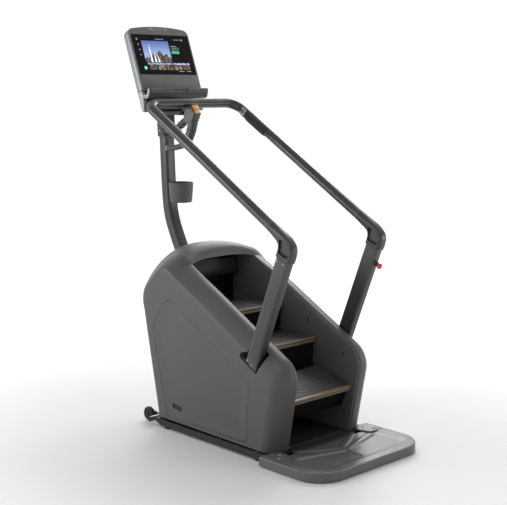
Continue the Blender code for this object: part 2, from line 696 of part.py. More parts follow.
def build_posts():
    section = oval(0.050, 0.082, 16, 4)
    for side, label in ((-1, "left"), (1, "right")):
        path = [(side * POST_X, post_point(z), z) for z in (0.4660, ELBOW_LOW)]
        smooth(place("post_" + label, sweep("post", path, section), "rail_paint"))
        top = Vector((post_point(ELBOW_LOW), ELBOW_LOW))
        up = Vector((-math.sin(POST_LEAN), math.cos(POST_LEAN)))
        start = Vector((-0.418, 1.126))
        way = (Vector((BAR_Y, BAR_Z)) - start).normalized()
        outline_path = [top + up * 0.0004, top + up * 0.030, Vector((-0.5235, 1.052)), Vector((-0.5135, 1.076)),
                        Vector((-0.487, 1.0915)), start - way * 0.030, start - way * 0.0004]
        sizes = [oval(0.050, 0.084, 16, 4), oval(0.050, 0.082, 16, 4), oval(0.050, 0.068, 16, 3),
                 oval(0.050, 0.060, 16, 2.6), oval(0.049, 0.056, 16, 2.2), oval(0.050, 0.052, 16, 2),
                 oval(0.049, 0.049, 16, 2)]
        path = [(side * POST_X if i < 3 else side * RAIL_X, p.x, p.y) for i, p in enumerate(outline_path)]
        smooth(place("elbow_" + label, sweep("elbow", path, lambda i: sizes[i]), "rail_paint"))
    z = 0.915
    front = Vector((POST_X, post_point(z) - 0.041 / math.cos(POST_LEAN), z))
    way = Vector((0, -math.cos(POST_LEAN), -math.sin(POST_LEAN)))
    base = rod("base", front + way * 0.0006, front + way * 0.014, 0.013, 16)
    housing = place("estop_housing", base, "dark_cover")
    cut(housing, rod("bore", front + way * 0.0085, front + way * 0.020, 0.0065, 16), "button_bore")
    smooth(housing)
    rings = []
    turn = way.to_track_quat("Z", "Y")
    for radius, along in ((0.006, 0.0145), (0.006, 0.022), (0.0145, 0.024), (0.0155, 0.030), (0.012, 0.037), (0.005, 0.040)):
        rings.append([front + way * along + turn @ Vector((radius * math.cos(2 * math.pi * i / 16),
                                                           radius * math.sin(2 * math.pi * i / 16), 0)) for i in range(16)])
    smooth(place("estop_button", loft("estop_button", rings), "red", tuple(front + way * 0.0145)))


def on_console(x, up, out):
    """Point of the console: up its face from the screen's lower edge, out towards the user."""
    c, s = math.cos(CONSOLE_TILT), math.sin(CONSOLE_TILT)
    return Vector((x, SCREEN_LOW[0] + up * s - out * c, SCREEN_LOW[1] + up * c + out * s))


def console_plate(name, outline, out0, out1):
    return loft(name, [[on_console(x, up, out) for x, up in outline] for out in (out0, out1)])


def arched(half, low, high, rise, corner):
    """Console outline with an arched top and rounded upper corners."""
    line = [(-half, low)]
    for k in range(5):
        angle = math.pi - k * math.pi / 8
        line.append((-half + corner + corner * math.cos(angle), high - corner + corner * math.sin(angle)))
    for k in range(1, 6):
        x = (half - corner) * (-1 + k / 3)
        line.append((x, high + rise * (1 - (x / (half - corner)) ** 2)))
    for k in range(5):
        angle = math.pi / 2 - k * math.pi / 8
        line.append((half - corner + corner * math.cos(angle), high - corner + corner * math.sin(angle)))
    line.append((half, low))
    return line


def build_console():
    back = [[on_console(x, up, -0.0105) for x, up in arched(0.212, -0.200, 0.262, 0.020, 0.03)],
            [on_console(x, up, -0.050) for x, up in arched(0.212, -0.198, 0.260, 0.020, 0.03)],
            [on_console(x * 0.9, max(up, -0.170) * 0.93, -0.0688) for x, up in arched(0.212, -0.190, 0.255, 0.018, 0.03)]]
    node = place("console_back", loft("console_back", back), "console")
    cut(node, slab("head_room", (-0.0955, 0.60, 1.58), (0.0955, 0.7935, 1.6415)), "head_recess")
    cut(node, slab("arm_room", (-0.0605, 0.60, 1.60), (0.0605, 0.7935, 1.6625)), "arm_recess")
    smooth(node)
    bezel = place("console_bezel", console_plate("bezel", arched(0.210, -0.094, 0.260, 0.019, 0.03), -0.010, 0.0), "console")
    cut(bezel, console_plate("pocket", [(-0.2, -0.001), (0.2, -0.001), (0.2, 0.230), (-0.2, 0.230)], -0.004, 0.01),
        "screen_pocket")
    glass = [(-0.1995, -0.0005), (0.1995, -0.0005), (0.1995, 0.2295), (-0.1995, 0.2295)]
    place("display_glass", console_plate("glass", glass, -0.0036, 0.0002), "glass")
    base = on_console(0, -0.0945, -0.010)
    front = 0.6300
    low = on_console(0, -0.166, -0.010)
    line = [(low.y - 0.0005, low.z), (low.y - 0.030, low.z - 0.008), (front + 0.006, 1.722), (front, 1.735), (front, 1.783),
            (front + 0.005, 1.785), (front + 0.008, 1.757), (front + 0.016, 1.748), (base.y - 0.012, 1.748),
            (base.y - 0.0005, base.z - 0.0005)]
    place("console_tray", prism("tray", line, -0.205, 0.205), "console")


def build_grip():
    loop = [(0.7015, 1.460), (0.640, 1.462), (0.570, 1.480), (0.520, 1.520), (0.493, 1.575), (0.484, 1.606),
            (0.502, 1.620), (0.540, 1.614), (0.580, 1.590), (0.630, 1.560), (0.7065, 1.552)]
    smooth(place("centre_grip", sweep("grip", [(GRIP_X, y, z) for y, z in loop],
                                      oval(0.030, 0.026, 12, 2.6)), "rail_paint"))
    block = [(0.4620, 1.6350), (0.5200, 1.6350), (0.5200, 1.6700), (0.4900, 1.6950), (0.4740, 1.6950), (0.4440, 1.6500)]
    head = place("control_head", prism("head", block, GRIP_X - 0.022, GRIP_X + 0.022), "dark_cover")
    slope = Vector((0, 0.4740 - 0.4440, 1.6950 - 1.6500)).normalized()
    out = Vector((0, -slope.z, slope.y))
    for label, start in (("speed_down_key", 0.006), ("speed_up_key", 0.030)):
        low = Vector((GRIP_X, 0.4440, 1.6500)) + slope * start
        cut(head, tilted_block("slot", low, slope, out, 0.0165, 0.0205, -0.0078, 0.01), label + "_slot")
        key = tilted_block("key", low + slope * 0.0005, slope, out, 0.016, 0.0195, -0.0042, 0.004)
        place(label, key, "orange", tuple(low))


def tilted_block(name, low, slope, out, half, length, depth, height):
    rings = []
    for rise in (depth, height):
        rings.append([low + Vector((x, 0, 0)) + slope * s + out * rise
                      for x, s in ((-half, 0), (half, 0), (half, length), (-half, length))])
    return loft(name, rings)


def main():
    clear()
    make_materials()
    global MACHINE
    MACHINE = bpy.data.objects.new("machine", None)
    MACHINE.location = (0, -(FRONT_Y + REAR_Y) / 2, 0)
    bpy.context.collection.objects.link(MACHINE)
    build_steps()
    brake = build_drive()
    build_base(brake)
    build_wheels()
    build_platform()
    for side, label in ((-1, "left"), (1, "right")):
        build_side(side, label)
    build_rear()
    build_mast()
    build_handrails()
    build_posts()
    build_console()
    build_grip()


main()
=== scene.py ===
"""Stair climber, as it looks: smooth covers, tubes, ribbed steps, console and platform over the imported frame."""
import math

import bmesh
import bpy
from mathutils import Matrix, Vector


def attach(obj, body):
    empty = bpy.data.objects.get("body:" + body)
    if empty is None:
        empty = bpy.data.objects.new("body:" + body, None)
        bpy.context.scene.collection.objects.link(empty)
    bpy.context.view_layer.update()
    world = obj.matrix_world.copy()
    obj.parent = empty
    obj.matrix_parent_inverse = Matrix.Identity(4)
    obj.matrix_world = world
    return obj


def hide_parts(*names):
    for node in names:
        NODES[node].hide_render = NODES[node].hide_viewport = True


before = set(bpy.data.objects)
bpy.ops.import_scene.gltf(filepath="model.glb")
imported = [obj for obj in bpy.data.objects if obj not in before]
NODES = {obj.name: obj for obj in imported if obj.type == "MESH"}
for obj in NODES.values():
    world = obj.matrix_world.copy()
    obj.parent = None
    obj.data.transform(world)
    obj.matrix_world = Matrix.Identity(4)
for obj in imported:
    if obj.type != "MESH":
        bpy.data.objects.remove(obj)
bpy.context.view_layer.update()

SHIFT = -0.036              # the machine's own side-view measures, moved so that y = 0 is mid-length
OUTER = 0.343               # outer face of the covers
WELL_X = 0.2235             # inner edge of the shoulders
INCLINE = math.radians(31.2)
ALONG = Vector((math.cos(INCLINE), math.sin(INCLINE)))
UP_OUT = Vector((-math.sin(INCLINE), math.cos(INCLINE)))


def V2(y, z):
    """Point in the side view, in the machine's own measures."""
    return Vector((y, z))


def at(x, p):
    """Side-view point p (y, z) at x, in the frame."""
    return Vector((x, p[0] + SHIFT, p[1]))


# ------------------------------------------------------------------ materials
def put(nodes, kind, **values):
    """Adds a shader node; values are its inputs by name, with _ for a space."""
    made = nodes.new("ShaderNode" + kind)
    for name, value in values.items():
        made.inputs[name.replace("_", " ")].default_value = value
    return made


def ramp_stops(ramp, stops):
    for element, (position, colour) in zip(ramp.color_ramp.elements, stops):
        element.position = position
        element.color = (*colour, 1)


def finish(name, colour, rough, metal=0.0, grain=900.0, bump=0.12, mottle=0.1, coat=0.0, brushed=None,
           spread=0.1, convex_edge_colour=None, specular=0.5):
    """Base colour with slow mottling, roughness that varies, and a moulded or sprayed grain as bump."""
    mat = bpy.data.materials.new(name)
    mat.use_nodes = True
    nodes, links = mat.node_tree.nodes, mat.node_tree.links
    shader = nodes["Principled BSDF"]
    for key, value in (("Metallic", metal), ("Coat Weight", coat), ("Specular IOR Level", specular),
                       ("Coat Roughness", 0.25)):
        shader.inputs[key].default_value = value
    where = put(nodes, "TexCoord").outputs["Object"]
    cloud = put(nodes, "TexNoise", Scale=7.0, Detail=5.0)
    links.new(where, cloud.inputs["Vector"])
    ramp = put(nodes, "ValToRGB")
    ramp_stops(ramp, [(0.3, [c * (1 - mottle) for c in colour]), (0.7, [min(1, c * (1 + mottle)) for c in colour])])
    links.new(cloud.outputs["Fac"], ramp.inputs["Fac"])
    fine = put(nodes, "TexNoise", Scale=grain, Detail=3.0)
    if brushed:
        stretch = put(nodes, "Mapping", Scale=brushed)
        links.new(where, stretch.inputs["Vector"])
        where = stretch.outputs["Vector"]
    links.new(where, fine.inputs["Vector"])
    speck = put(nodes, "MixRGB", Fac=0.35)
    speck.blend_type = "MULTIPLY"
    level = put(nodes, "MapRange", From_Min=0.3, From_Max=0.7, To_Min=0.8, To_Max=1.12)
    links.new(fine.outputs["Fac"], level.inputs["Value"])
    links.new(ramp.outputs["Color"], speck.inputs["Color1"])
    links.new(level.outputs["Result"], speck.inputs["Color2"])
    colour_out = speck.outputs["Color"]
    # Lighter colour on convex edges, picked by pointiness.
    if convex_edge_colour:
        edge = put(nodes, "NewGeometry")
        pick = put(nodes, "MapRange", From_Min=0.53, From_Max=0.62)
        mix = put(nodes, "MixRGB", Color2=(*convex_edge_colour, 1))
        links.new(edge.outputs["Pointiness"], pick.inputs["Value"])
        links.new(pick.outputs["Result"], mix.inputs["Fac"])
        links.new(colour_out, mix.inputs["Color1"])
        colour_out = mix.outputs["Color"]
    links.new(colour_out, shader.inputs["Base Color"])
    gloss = put(nodes, "MapRange", To_Min=max(0.05, rough - spread), To_Max=min(1.0, rough + spread))
    links.new(cloud.outputs["Fac"], gloss.inputs["Value"])
    links.new(gloss.outputs["Result"], shader.inputs["Roughness"])
    relief = put(nodes, "Bump", Strength=bump, Distance=0.0006)
    links.new(fine.outputs["Fac"], relief.inputs["Height"])
    links.new(relief.outputs["Normal"], shader.inputs["Normal"])
    return mat


COVER = finish("cover_plastic", (0.066, 0.063, 0.059), 0.46, grain=1100, bump=0.16, mottle=0.04, spread=0.05)
DARK = finish("black_plastic", (0.019, 0.019, 0.019), 0.55, grain=1300, bump=0.25, mottle=0.12)
COAT = finish("charcoal_coat", (0.028, 0.0285, 0.0285), 0.36, metal=0.25, grain=1500, bump=0.14, mottle=0.06,
              coat=0.2, convex_edge_colour=(0.1, 0.1, 0.1))
STEP = finish("step_plastic", (0.031, 0.032, 0.033), 0.52, grain=1000, bump=0.3, mottle=0.14)
TAN = finish("tan_strip", (0.17, 0.118, 0.074), 0.42, grain=500, bump=0.35, mottle=0.14, brushed=(0.06, 1, 1))
RUBBER = finish("rubber_black", (0.015, 0.015, 0.015), 0.75, grain=1600, bump=0.4, mottle=0.15)
DECK = finish("platform_plastic", (0.098, 0.096, 0.096), 0.33, grain=900, bump=0.3, mottle=0.06)
SILVER = finish("silver_paint", (0.27, 0.276, 0.282), 0.3, metal=0.75, grain=900, bump=0.08, mottle=0.04)
BRUSHED = finish("brushed_steel", (0.368, 0.352, 0.336), 0.34, metal=1.0, grain=600, bump=0.12, mottle=0.06,
                 brushed=(1, 0.05, 0.05))
ORANGE = finish("orange_key", (0.72, 0.272, 0.024), 0.32, grain=900, bump=0.1, mottle=0.08, coat=0.3)
RED = finish("red_button", (0.585, 0.022, 0.026), 0.25, grain=700, bump=0.06, mottle=0.06, coat=0.5)
CONSOLE = finish("console_plastic", (0.105, 0.106, 0.108), 0.4, metal=0.15, grain=1400, bump=0.12, mottle=0.04)
WALL = finish("inner_wall", (0.09, 0.088, 0.086), 0.5, grain=1200, bump=0.2, mottle=0.06)
# Near-black for the step risers is painted shade: the risers sit in shadow under the nosing.
RISER_SHADE = finish("riser_painted_shade", (0.004, 0.004, 0.004), 0.7, grain=1200, bump=0.2, mottle=0.1, specular=0.12)
CUP = finish("cup_plastic", (0.046, 0.046, 0.047), 0.42, grain=1300, bump=0.14, mottle=0.05)
FRAME = finish("frame_paint", (0.03, 0.03, 0.031), 0.45, metal=0.5, grain=1000, bump=0.2, mottle=0.1)
STEEL = finish("machined_steel", (0.384, 0.384, 0.376), 0.3, metal=1.0, grain=400, bump=0.15, mottle=0.1,
               brushed=(1, 0.1, 0.1))
GLASS = finish("black_display", (0.004, 0.004, 0.005), 0.16, grain=30, bump=0.02, mottle=0.3, spread=0.04,
               specular=0.12)
COPPER = finish("sensor_plate", (0.34, 0.281, 0.246), 0.36, metal=1.0, grain=700, bump=0.1, mottle=0.12,
                brushed=(1, 0.1, 0.1))
GREY_TRIM = finish("light_trim", (0.255, 0.255, 0.255), 0.35, metal=0.3, grain=1200, bump=0.1, mottle=0.05)


def glow(name, low, high, strength, scale=6.0, rising=False):
    """Lit picture area on the display: two colours mixed by noise, or from low to high over the picture."""
    mat = bpy.data.materials.new(name)
    mat.use_nodes = True
    nodes, links = mat.node_tree.nodes, mat.node_tree.links
    shader = nodes["Principled BSDF"]
    shader.inputs["Roughness"].default_value = 0.12
    shader.inputs["Emission Strength"].default_value = strength
    where = put(nodes, "TexCoord").outputs["Object"]
    ramp = put(nodes, "ValToRGB")
    if rising:
        parts = put(nodes, "SeparateXYZ")
        span = put(nodes, "MapRange", From_Min=1.93, From_Max=2.05)
        links.new(where, parts.inputs["Vector"])
        links.new(parts.outputs["Z"], span.inputs["Value"])
        links.new(span.outputs["Result"], ramp.inputs["Fac"])
        ramp_stops(ramp, [(0, low), (1, high)])
    else:
        noise = put(nodes, "TexNoise", Scale=scale, Detail=6.0)
        links.new(where, noise.inputs["Vector"])
        links.new(noise.outputs["Fac"], ramp.inputs["Fac"])
        ramp_stops(ramp, [(0.4, low), (0.62, high)])
    for key in ("Base Color", "Emission Color"):
        links.new(ramp.outputs["Color"], shader.inputs[key])
    return mat


# ------------------------------------------------------------------ mesh helpers
SIDES = ((-1, "left"), (1, "right"))


def shade(thing, angle):
    """Smooth shading that stays sharp across edges above the angle, in degrees."""
    thing.data.shade_smooth()
    thing.data.set_sharp_from_angle(angle=math.radians(angle))


def placed(name, data):
    thing = bpy.data.objects.new(name, data)
    bpy.context.scene.collection.objects.link(thing)
    return thing


def joined(meshes):
    """One mesh from several."""
    work = bmesh.new()
    for part in meshes:
        work.from_mesh(part)
    mesh = bpy.data.meshes.new("shape")
    work.to_mesh(mesh)
    work.free()
    return mesh


def add(name, mesh, mat, body="machine", smooth=35, replaces=()):
    thing = placed(name, mesh)
    mesh.name = name
    mesh.materials.append(mat)
    if smooth:
        shade(thing, smooth)
    if replaces:
        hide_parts(*replaces)
    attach(thing, body)
    return thing


def mesh_of(verts, faces):
    mesh = bpy.data.meshes.new("shape")
    mesh.from_pydata([tuple(v) for v in verts], [], faces)
    work = bmesh.new()
    work.from_mesh(mesh)
    bmesh.ops.remove_doubles(work, verts=work.verts, dist=1e-6)
    bmesh.ops.recalc_face_normals(work, faces=work.faces)
    work.to_mesh(mesh)
    work.free()
    return mesh


def ring_faces(a, b, count):
    """Faces between two rings of points that start at numbers a and b."""
    return [(a + j, a + (j + 1) % count, b + (j + 1) % count, b + j) for j in range(count)]


def skin(rings, closed=False):
    """Skin through rings of equal length."""
    count = len(rings[0])
    verts = [p for ring in rings for p in ring]
    faces = []
    for i in range(len(rings) if closed else len(rings) - 1):
        faces += ring_faces(i * count, ((i + 1) % len(rings)) * count, count)
    if not closed:
        faces += [tuple(range(count)), tuple(range((len(rings) - 1) * count, len(rings) * count))]
    return mesh_of(verts, faces)


def domed(rings, hub, floor=False):
    """Skin through rings of equal length, closed by a fan from the last ring to the hub."""
    count = len(rings[0])
    verts = [p for ring in rings for p in ring] + [hub]
    last = len(verts) - 1 - count
    faces = [face for a in range(0, last, count) for face in ring_faces(a, a + count, count)]
    faces += [(last + j, last + (j + 1) % count, last + count) for j in range(count)]
    return mesh_of(verts, faces + ([tuple(range(count))] if floor else []))


def prism(outline, x0, x1):
    return skin([[at(x, p) for p in outline] for x in (x0, x1)])


def between(side, a, b):
    """The two x limits of something that lies from a to b on one side."""
    return sorted((side * a, side * b))


def facing(mesh, way):
    """The same mesh, flipped if it looks away from way."""
    if sum((f.normal * f.area for f in mesh.polygons), Vector()).dot(Vector(way)) < 0:
        mesh.flip_normals()
    return mesh


def sheet(rows, way):
    """Open quad surface that faces way."""
    count = len(rows[0])
    verts = [p for row in rows for p in row]
    faces = [(i * count + j, i * count + j + 1, (i + 1) * count + j + 1, (i + 1) * count + j)
             for i in range(len(rows) - 1) for j in range(count - 1)]
    return facing(mesh_of(verts, faces), way)


def thicken(thing, thickness, inside=None):
    """Wall thickness towards the back of the faces, with an inside material if given."""
    step = thing.modifiers.new("thickness", "SOLIDIFY")
    step.thickness = thickness
    step.offset = -1
    if inside:
        thing.data.materials.append(inside)
        step.material_offset = 1


def bevel(thing, width, segments=3, angle=30):
    step = thing.modifiers.new("edges", "BEVEL")
    step.width = width
    step.segments = segments
    step.limit_method = "ANGLE"
    step.angle_limit = math.radians(angle)
    step.harden_normals = False


def carve(thing, mesh, label, operation="DIFFERENCE", tolerant=False):
    """Boolean with a throw-away cutter; the result is kept in the mesh."""
    cutter = placed(label, mesh)
    step = thing.modifiers.new(label, "BOOLEAN")
    step.operation = operation
    step.solver = "EXACT"
    step.object = cutter
    step.use_hole_tolerant = tolerant
    keep(thing)
    bpy.data.objects.remove(cutter)


def keep(thing):
    """Turns the modifiers into the mesh itself."""
    bpy.context.view_layer.update()
    graph = bpy.context.evaluated_depsgraph_get()
    mesh = bpy.data.meshes.new_from_object(thing.evaluated_get(graph))
    thing.modifiers.clear()
    thing.data = mesh


def rounded(corners, steps=8):
    """(y, z, radius) corners into a polyline with arcs."""
    line = []
    for i, (y, z, radius) in enumerate(corners):
        here = V2(y, z)
        if not radius:
            line.append(here)
            continue
        back = (V2(*corners[i - 1][:2]) - here).normalized()
        ahead = (V2(*corners[(i + 1) % len(corners)][:2]) - here).normalized()
        half = back.angle(ahead) / 2
        centre = here + (back + ahead).normalized() * radius / math.sin(half)
        start = here + back * radius / math.tan(half) - centre
        end = here + ahead * radius / math.tan(half) - centre
        whole = start.angle_signed(end)
        line += [centre + Matrix.Rotation(-whole * k / steps, 2) @ start for k in range(steps + 1)]
    return line


def resample(line, count, closed=False):
    """count points evenly along a polyline; both ends are kept."""
    points = [Vector(p) for p in line] + ([Vector(line[0])] if closed else [])
    lengths = [0.0]
    for a, b in zip(points, points[1:]):
        lengths.append(lengths[-1] + (b - a).length)
    result, k = [], 0
    for i in range(count):
        want = lengths[-1] * i / (count if closed else count - 1)
        while k < len(points) - 2 and lengths[k + 1] < want:
            k += 1
        gap = lengths[k + 1] - lengths[k]
        result.append(points[k].lerp(points[k + 1], (want - lengths[k]) / gap if gap else 0))
    return result


def curve_through(points, per_span=6):
    """Catmull-Rom line through the points."""
    points = [Vector(p) for p in points]
    line = []
    for i in range(len(points) - 1):
        p0 = points[i - 1] if i else points[0] * 2 - points[1]
        p1, p2 = points[i], points[i + 1]
        p3 = points[i + 2] if i + 2 < len(points) else p2 * 2 - p1
        for k in range(per_span):
            t = k / per_span
            line.append(0.5 * (2 * p1 + (p2 - p0) * t + (2 * p0 - 5 * p1 + 4 * p2 - p3) * t * t
                               + (3 * p1 - p0 - 3 * p2 + p3) * t ** 3))
    return line + [points[-1]]


def oval(width, depth, sides=32, square=4.0):
    """Superellipse section; a larger square makes squarer corners."""
    points = []
    for i in range(sides):
        a = 2 * math.pi * (i + 0.5) / sides
        c, s = math.cos(a), math.sin(a)
        points.append((width / 2 * math.copysign(abs(c) ** (2 / square), c),
                       depth / 2 * math.copysign(abs(s) ** (2 / square), s)))
    return points


def pipe(path, section, across=(1, 0, 0)):
    """Section carried along a path, across kept near one direction."""
    path = [Vector(p) for p in path]
    side = Vector(across)
    rings = []
    for i, spot in enumerate(path):
        ahead = (path[min(i + 1, len(path) - 1)] - path[max(i - 1, 0)]).normalized()
        flat = (side - ahead * side.dot(ahead))
        flat.normalize()
        out = ahead.cross(flat)
        rings.append([spot + flat * a + out * b for a, b in (section(i) if callable(section) else section)])
    return skin(rings)


def free_pipe(path, radius, sides=28):
    """Round tube along any path, with no twist; radius may be a function of the point's number."""
    path = [Vector(p) for p in path]
    normal, rings = None, []
    for i, spot in enumerate(path):
        ahead = (path[min(i + 1, len(path) - 1)] - path[max(i - 1, 0)]).normalized()
        normal = ahead.orthogonal() if normal is None else normal - ahead * normal.dot(ahead)
        normal.normalize()
        other = ahead.cross(normal)
        r = radius(i) if callable(radius) else radius
        rings.append([spot + (normal * math.cos(2 * math.pi * k / sides)
                              + other * math.sin(2 * math.pi * k / sides)) * r
                      for k in range(sides)])
    return skin(rings)


def turned(profile, centre, axis, sides=32):
    """Closed profile (along, radius) turned about an axis; a zero radius makes a pole."""
    turn = Vector(axis).to_track_quat("Z", "Y")
    rings = []
    for along, radius in profile:
        radius = max(radius, 1e-5)
        rings.append([Vector(centre) + turn @ Vector((radius * math.cos(2 * math.pi * k / sides),
                                                      radius * math.sin(2 * math.pi * k / sides), along))
                      for k in range(sides)])
    return skin(rings)


def screw(name, centre, axis, radius=0.006, mat=None, body="machine"):
    """Button-head screw with a hex socket."""
    profile = [(0, radius), (radius * 0.25, radius), (radius * 0.5, radius * 0.85), (radius * 0.62, radius * 0.55)]
    head = add(name, turned(profile, centre, axis, 24), mat or BRUSHED, body, smooth=50)
    way = Vector(axis).normalized()
    carve(head, turned([(radius * 0.25, radius * 0.42), (radius, radius * 0.42)], centre, way, 6), "socket")
    return head


# ------------------------------------------------------------------ covers
SIDE = [(-0.376, 0.05, 0), (-0.44, 0.414, 0.09), (0.3856, 0.8804, 0.085), (0.5685, 0.693, 0.125), (0.431, 0.05, 0)]
WELL = [(-0.426, 0.05, 0), (-0.498, 0.459, 0.11), (0.3, 0.8935, 0)]
MIDDLE = [(0.3, 0.897), (0.306, 0.925), (0.325, 0.952), (0.372, 0.966), (0.44, 0.962), (0.52, 0.942), (0.585, 0.903),
          (0.617, 0.85), (0.625, 0.78), (0.62, 0.7), (0.6, 0.56), (0.545, 0.3), (0.49, 0.05)]
SEAM_Y = 0.3
PILLAR, CORNER, SLOPE, REAR = 16, 18, 40, 84    # stations along each stretch of the outline
SHOULDER = 22               # stations from the well's edge to the ridge
ROUND_STEPS = 7             # stations over the ridge's rounding
ACROSS = (0, 0.15, 0.5, 1)  # stations on the side face, as shares of the way from its outline to the door


def front_stations():
    """Ridge and well edge, from the foot of the pillar to the hood's seam."""
    slope = V2(*SIDE[2][:2]) - V2(*SIDE[1][:2])
    end = V2(*SIDE[1][:2]) + slope * (SEAM_Y - SIDE[1][0]) / slope.x
    ridge, well = rounded(SIDE[:4], CORNER - 1)[:CORNER + 1], rounded(WELL, CORNER - 1)[:CORNER + 1]

    def spread(line, last):
        foot = [line[0].lerp(line[1], k / PILLAR) for k in range(PILLAR)]
        run = [line[-1].lerp(last, k / SLOPE) for k in range(1, SLOPE + 1)]
        return foot + line[1:] + run
    return spread(ridge, end), spread(well, V2(0.274, 0.8785))


def rear_stations():
    """Side outline and middle line of the hood and rear cover, from the seam down to the foot."""
    outline = resample([V2(SEAM_Y, 0.832)] + rounded(SIDE, 14)[16:], REAR)
    return outline, resample(curve_through([V2(*p) for p in MIDDLE], 10), REAR)


RIDGE, EDGE = front_stations()
OUTLINE, CROWN = rear_stations()


def normals_of(line):
    found = []
    for i in range(len(line)):
        d = (line[min(i + 1, len(line) - 1)] - line[max(i - 1, 0)]).normalized()
        found.append(V2(-d.y, d.x))
    return found


OUT_FRONT = normals_of(RIDGE + OUTLINE[1:])[:len(RIDGE)]
OUT_REAR = normals_of(RIDGE[:-1] + OUTLINE)[len(RIDGE) - 1:]
OUT_EDGE = normals_of(EDGE)


def shoulder_point(i, x):
    """Front stations: from the well's edge (x = WELL_X) to the ridge (x = OUTER)."""
    u = (x - WELL_X) / (OUTER - WELL_X)
    base = EDGE[i].lerp(RIDGE[i], u ** 1.55)
    grow = min(1.0, 0.35 + 0.65 * i / (PILLAR + CORNER))
    near_seam = ease((i - (len(RIDGE) - 15)) / 14)
    lift = 0.0235 * grow * (1 - 0.75 * near_seam) * (4 * u * (1 - u)) ** 0.9
    lift += 0.003 * (1 - near_seam) * math.sin(math.pi * min(1, u * 6))
    return base + OUT_EDGE[i].lerp(OUT_FRONT[i], u).normalized() * lift


def rear_point(j, x):
    """Rear stations: across the whole width."""
    weight = (x / OUTER) ** 2.25
    start = CROWN[0].lerp(OUTLINE[0], weight)
    seam = shoulder_point(len(RIDGE) - 1, max(x, WELL_X))
    if x < WELL_X:
        seam = CROWN[0].lerp(seam, (x / WELL_X) ** 3)
    fade = max(0.0, 1 - j / (REAR - 1) / 0.3)
    return CROWN[j].lerp(OUTLINE[j], weight) + (seam - start) * (fade * fade * (3 - 2 * fade))


def ridge_radius(i, rear):
    """Edge rounding: tight along the ridge, generous round the back and on the pillar."""
    if rear:
        t = i / (REAR - 1)
        return 0.009 + 0.03 * min(1.0, max(0.0, (t - 0.22) / 0.2))
    return 0.009 + 0.012 * max(0.0, 1 - i / (PILLAR + CORNER)) ** 0.8


def rounding(i, rear):
    """Points over the crease, ending on the side face at x = OUTER."""
    r = ridge_radius(i, rear)
    out = (OUT_REAR if rear else OUT_FRONT)[i]
    made = []
    for k in range(ROUND_STEPS + 1):
        a = math.pi / 2 * k / ROUND_STEPS
        x = OUTER - r + r * math.sin(a)
        base = (rear_point if rear else shoulder_point)(i, min(x, OUTER - r * 0.15))
        made.append((x, base - out * r * (1 - math.cos(a))))
    return made


DOOR = [(-0.258, 0.072, 0.02), (-0.28, 0.375, 0.03), (0.335, 0.715, 0.05), (0.462, 0.545, 0.08), (0.345, 0.072, 0.02)]


def side_ring(line, door):
    """The door-loop point that each outline point joins to, both walked by length from the lower front corner."""
    dense = resample(door, 400, closed=True)
    lengths = [0.0]
    for a, b in zip(line, line[1:]):
        lengths.append(lengths[-1] + (b - a).length)
    lower_rear = max(range(400), key=lambda k: dense[k].x * 0.6 - dense[k].y)
    return [dense[min(399, round(lower_rear * length / lengths[-1]))] for length in lengths]


def build_covers():
    for side, label in SIDES:
        rows, face_line = [], []
        for i in range(len(RIDGE)):
            row = [at(side * (WELL_X + 0.0004), EDGE[i] - OUT_EDGE[i] * 0.012)]
            xs = [WELL_X + (OUTER - ridge_radius(i, False) - WELL_X) * k / SHOULDER for k in range(SHOULDER)]
            row += [at(side * x, shoulder_point(i, x)) for x in xs]
            row += [at(side * x, p) for x, p in rounding(i, False)]
            rows.append(row)
            face_line.append(rounding(i, False)[-1][1])
        rear_rows = []
        for j in range(REAR):
            arc = rounding(j, True)
            rear_rows.append([at(side * x, p) for x, p in arc] if j else rows[-1][SHOULDER + 1:])
            if j:
                face_line.append(arc[-1][1])
        mesh = sheet(rows, (side * 0.2, -0.5, 1))
        work = bmesh.new()
        work.from_mesh(mesh)
        work.from_mesh(sheet(rear_rows, (side, 0.2, 0.5)))
        inner = side_ring(face_line, rounded(DOOR, 12))
        side_mesh = sheet([[at(side * OUTER, a.lerp(b, t)) for t in ACROSS]
                           for a, b in zip(face_line, inner)], (side, 0, 0))
        work.from_mesh(side_mesh)
        first, last = (face_line[0], inner[0]), (face_line[-1], inner[-1])
        steps = 20
        foot = [[at(side * OUTER, first[0].lerp(last[0], k / steps).lerp(first[1].lerp(last[1], k / steps), t))
                 for t in ACROSS] for k in range(steps + 1)]
        work.from_mesh(sheet(foot, (side, 0, 0)))
        bmesh.ops.remove_doubles(work, verts=work.verts, dist=0.00005)
        bmesh.ops.dissolve_degenerate(work, edges=work.edges, dist=0.00002)
        work.to_mesh(mesh)
        work.free()
        cover = add("side_cover_" + label, mesh, COVER, smooth=0,
                    replaces=("side_panel_" + label, "shoulder_cover_" + label))
        mesh.shade_smooth()
        thicken(cover, 0.0032, DARK)
        keep(cover)
        carve(cover, prism(rounded(POCKET, 6), *between(side, 0.289, 0.36)), "pocket", tolerant=True)
        shade(cover, 38)
        build_door(side, label)
        build_pocket(side, label)


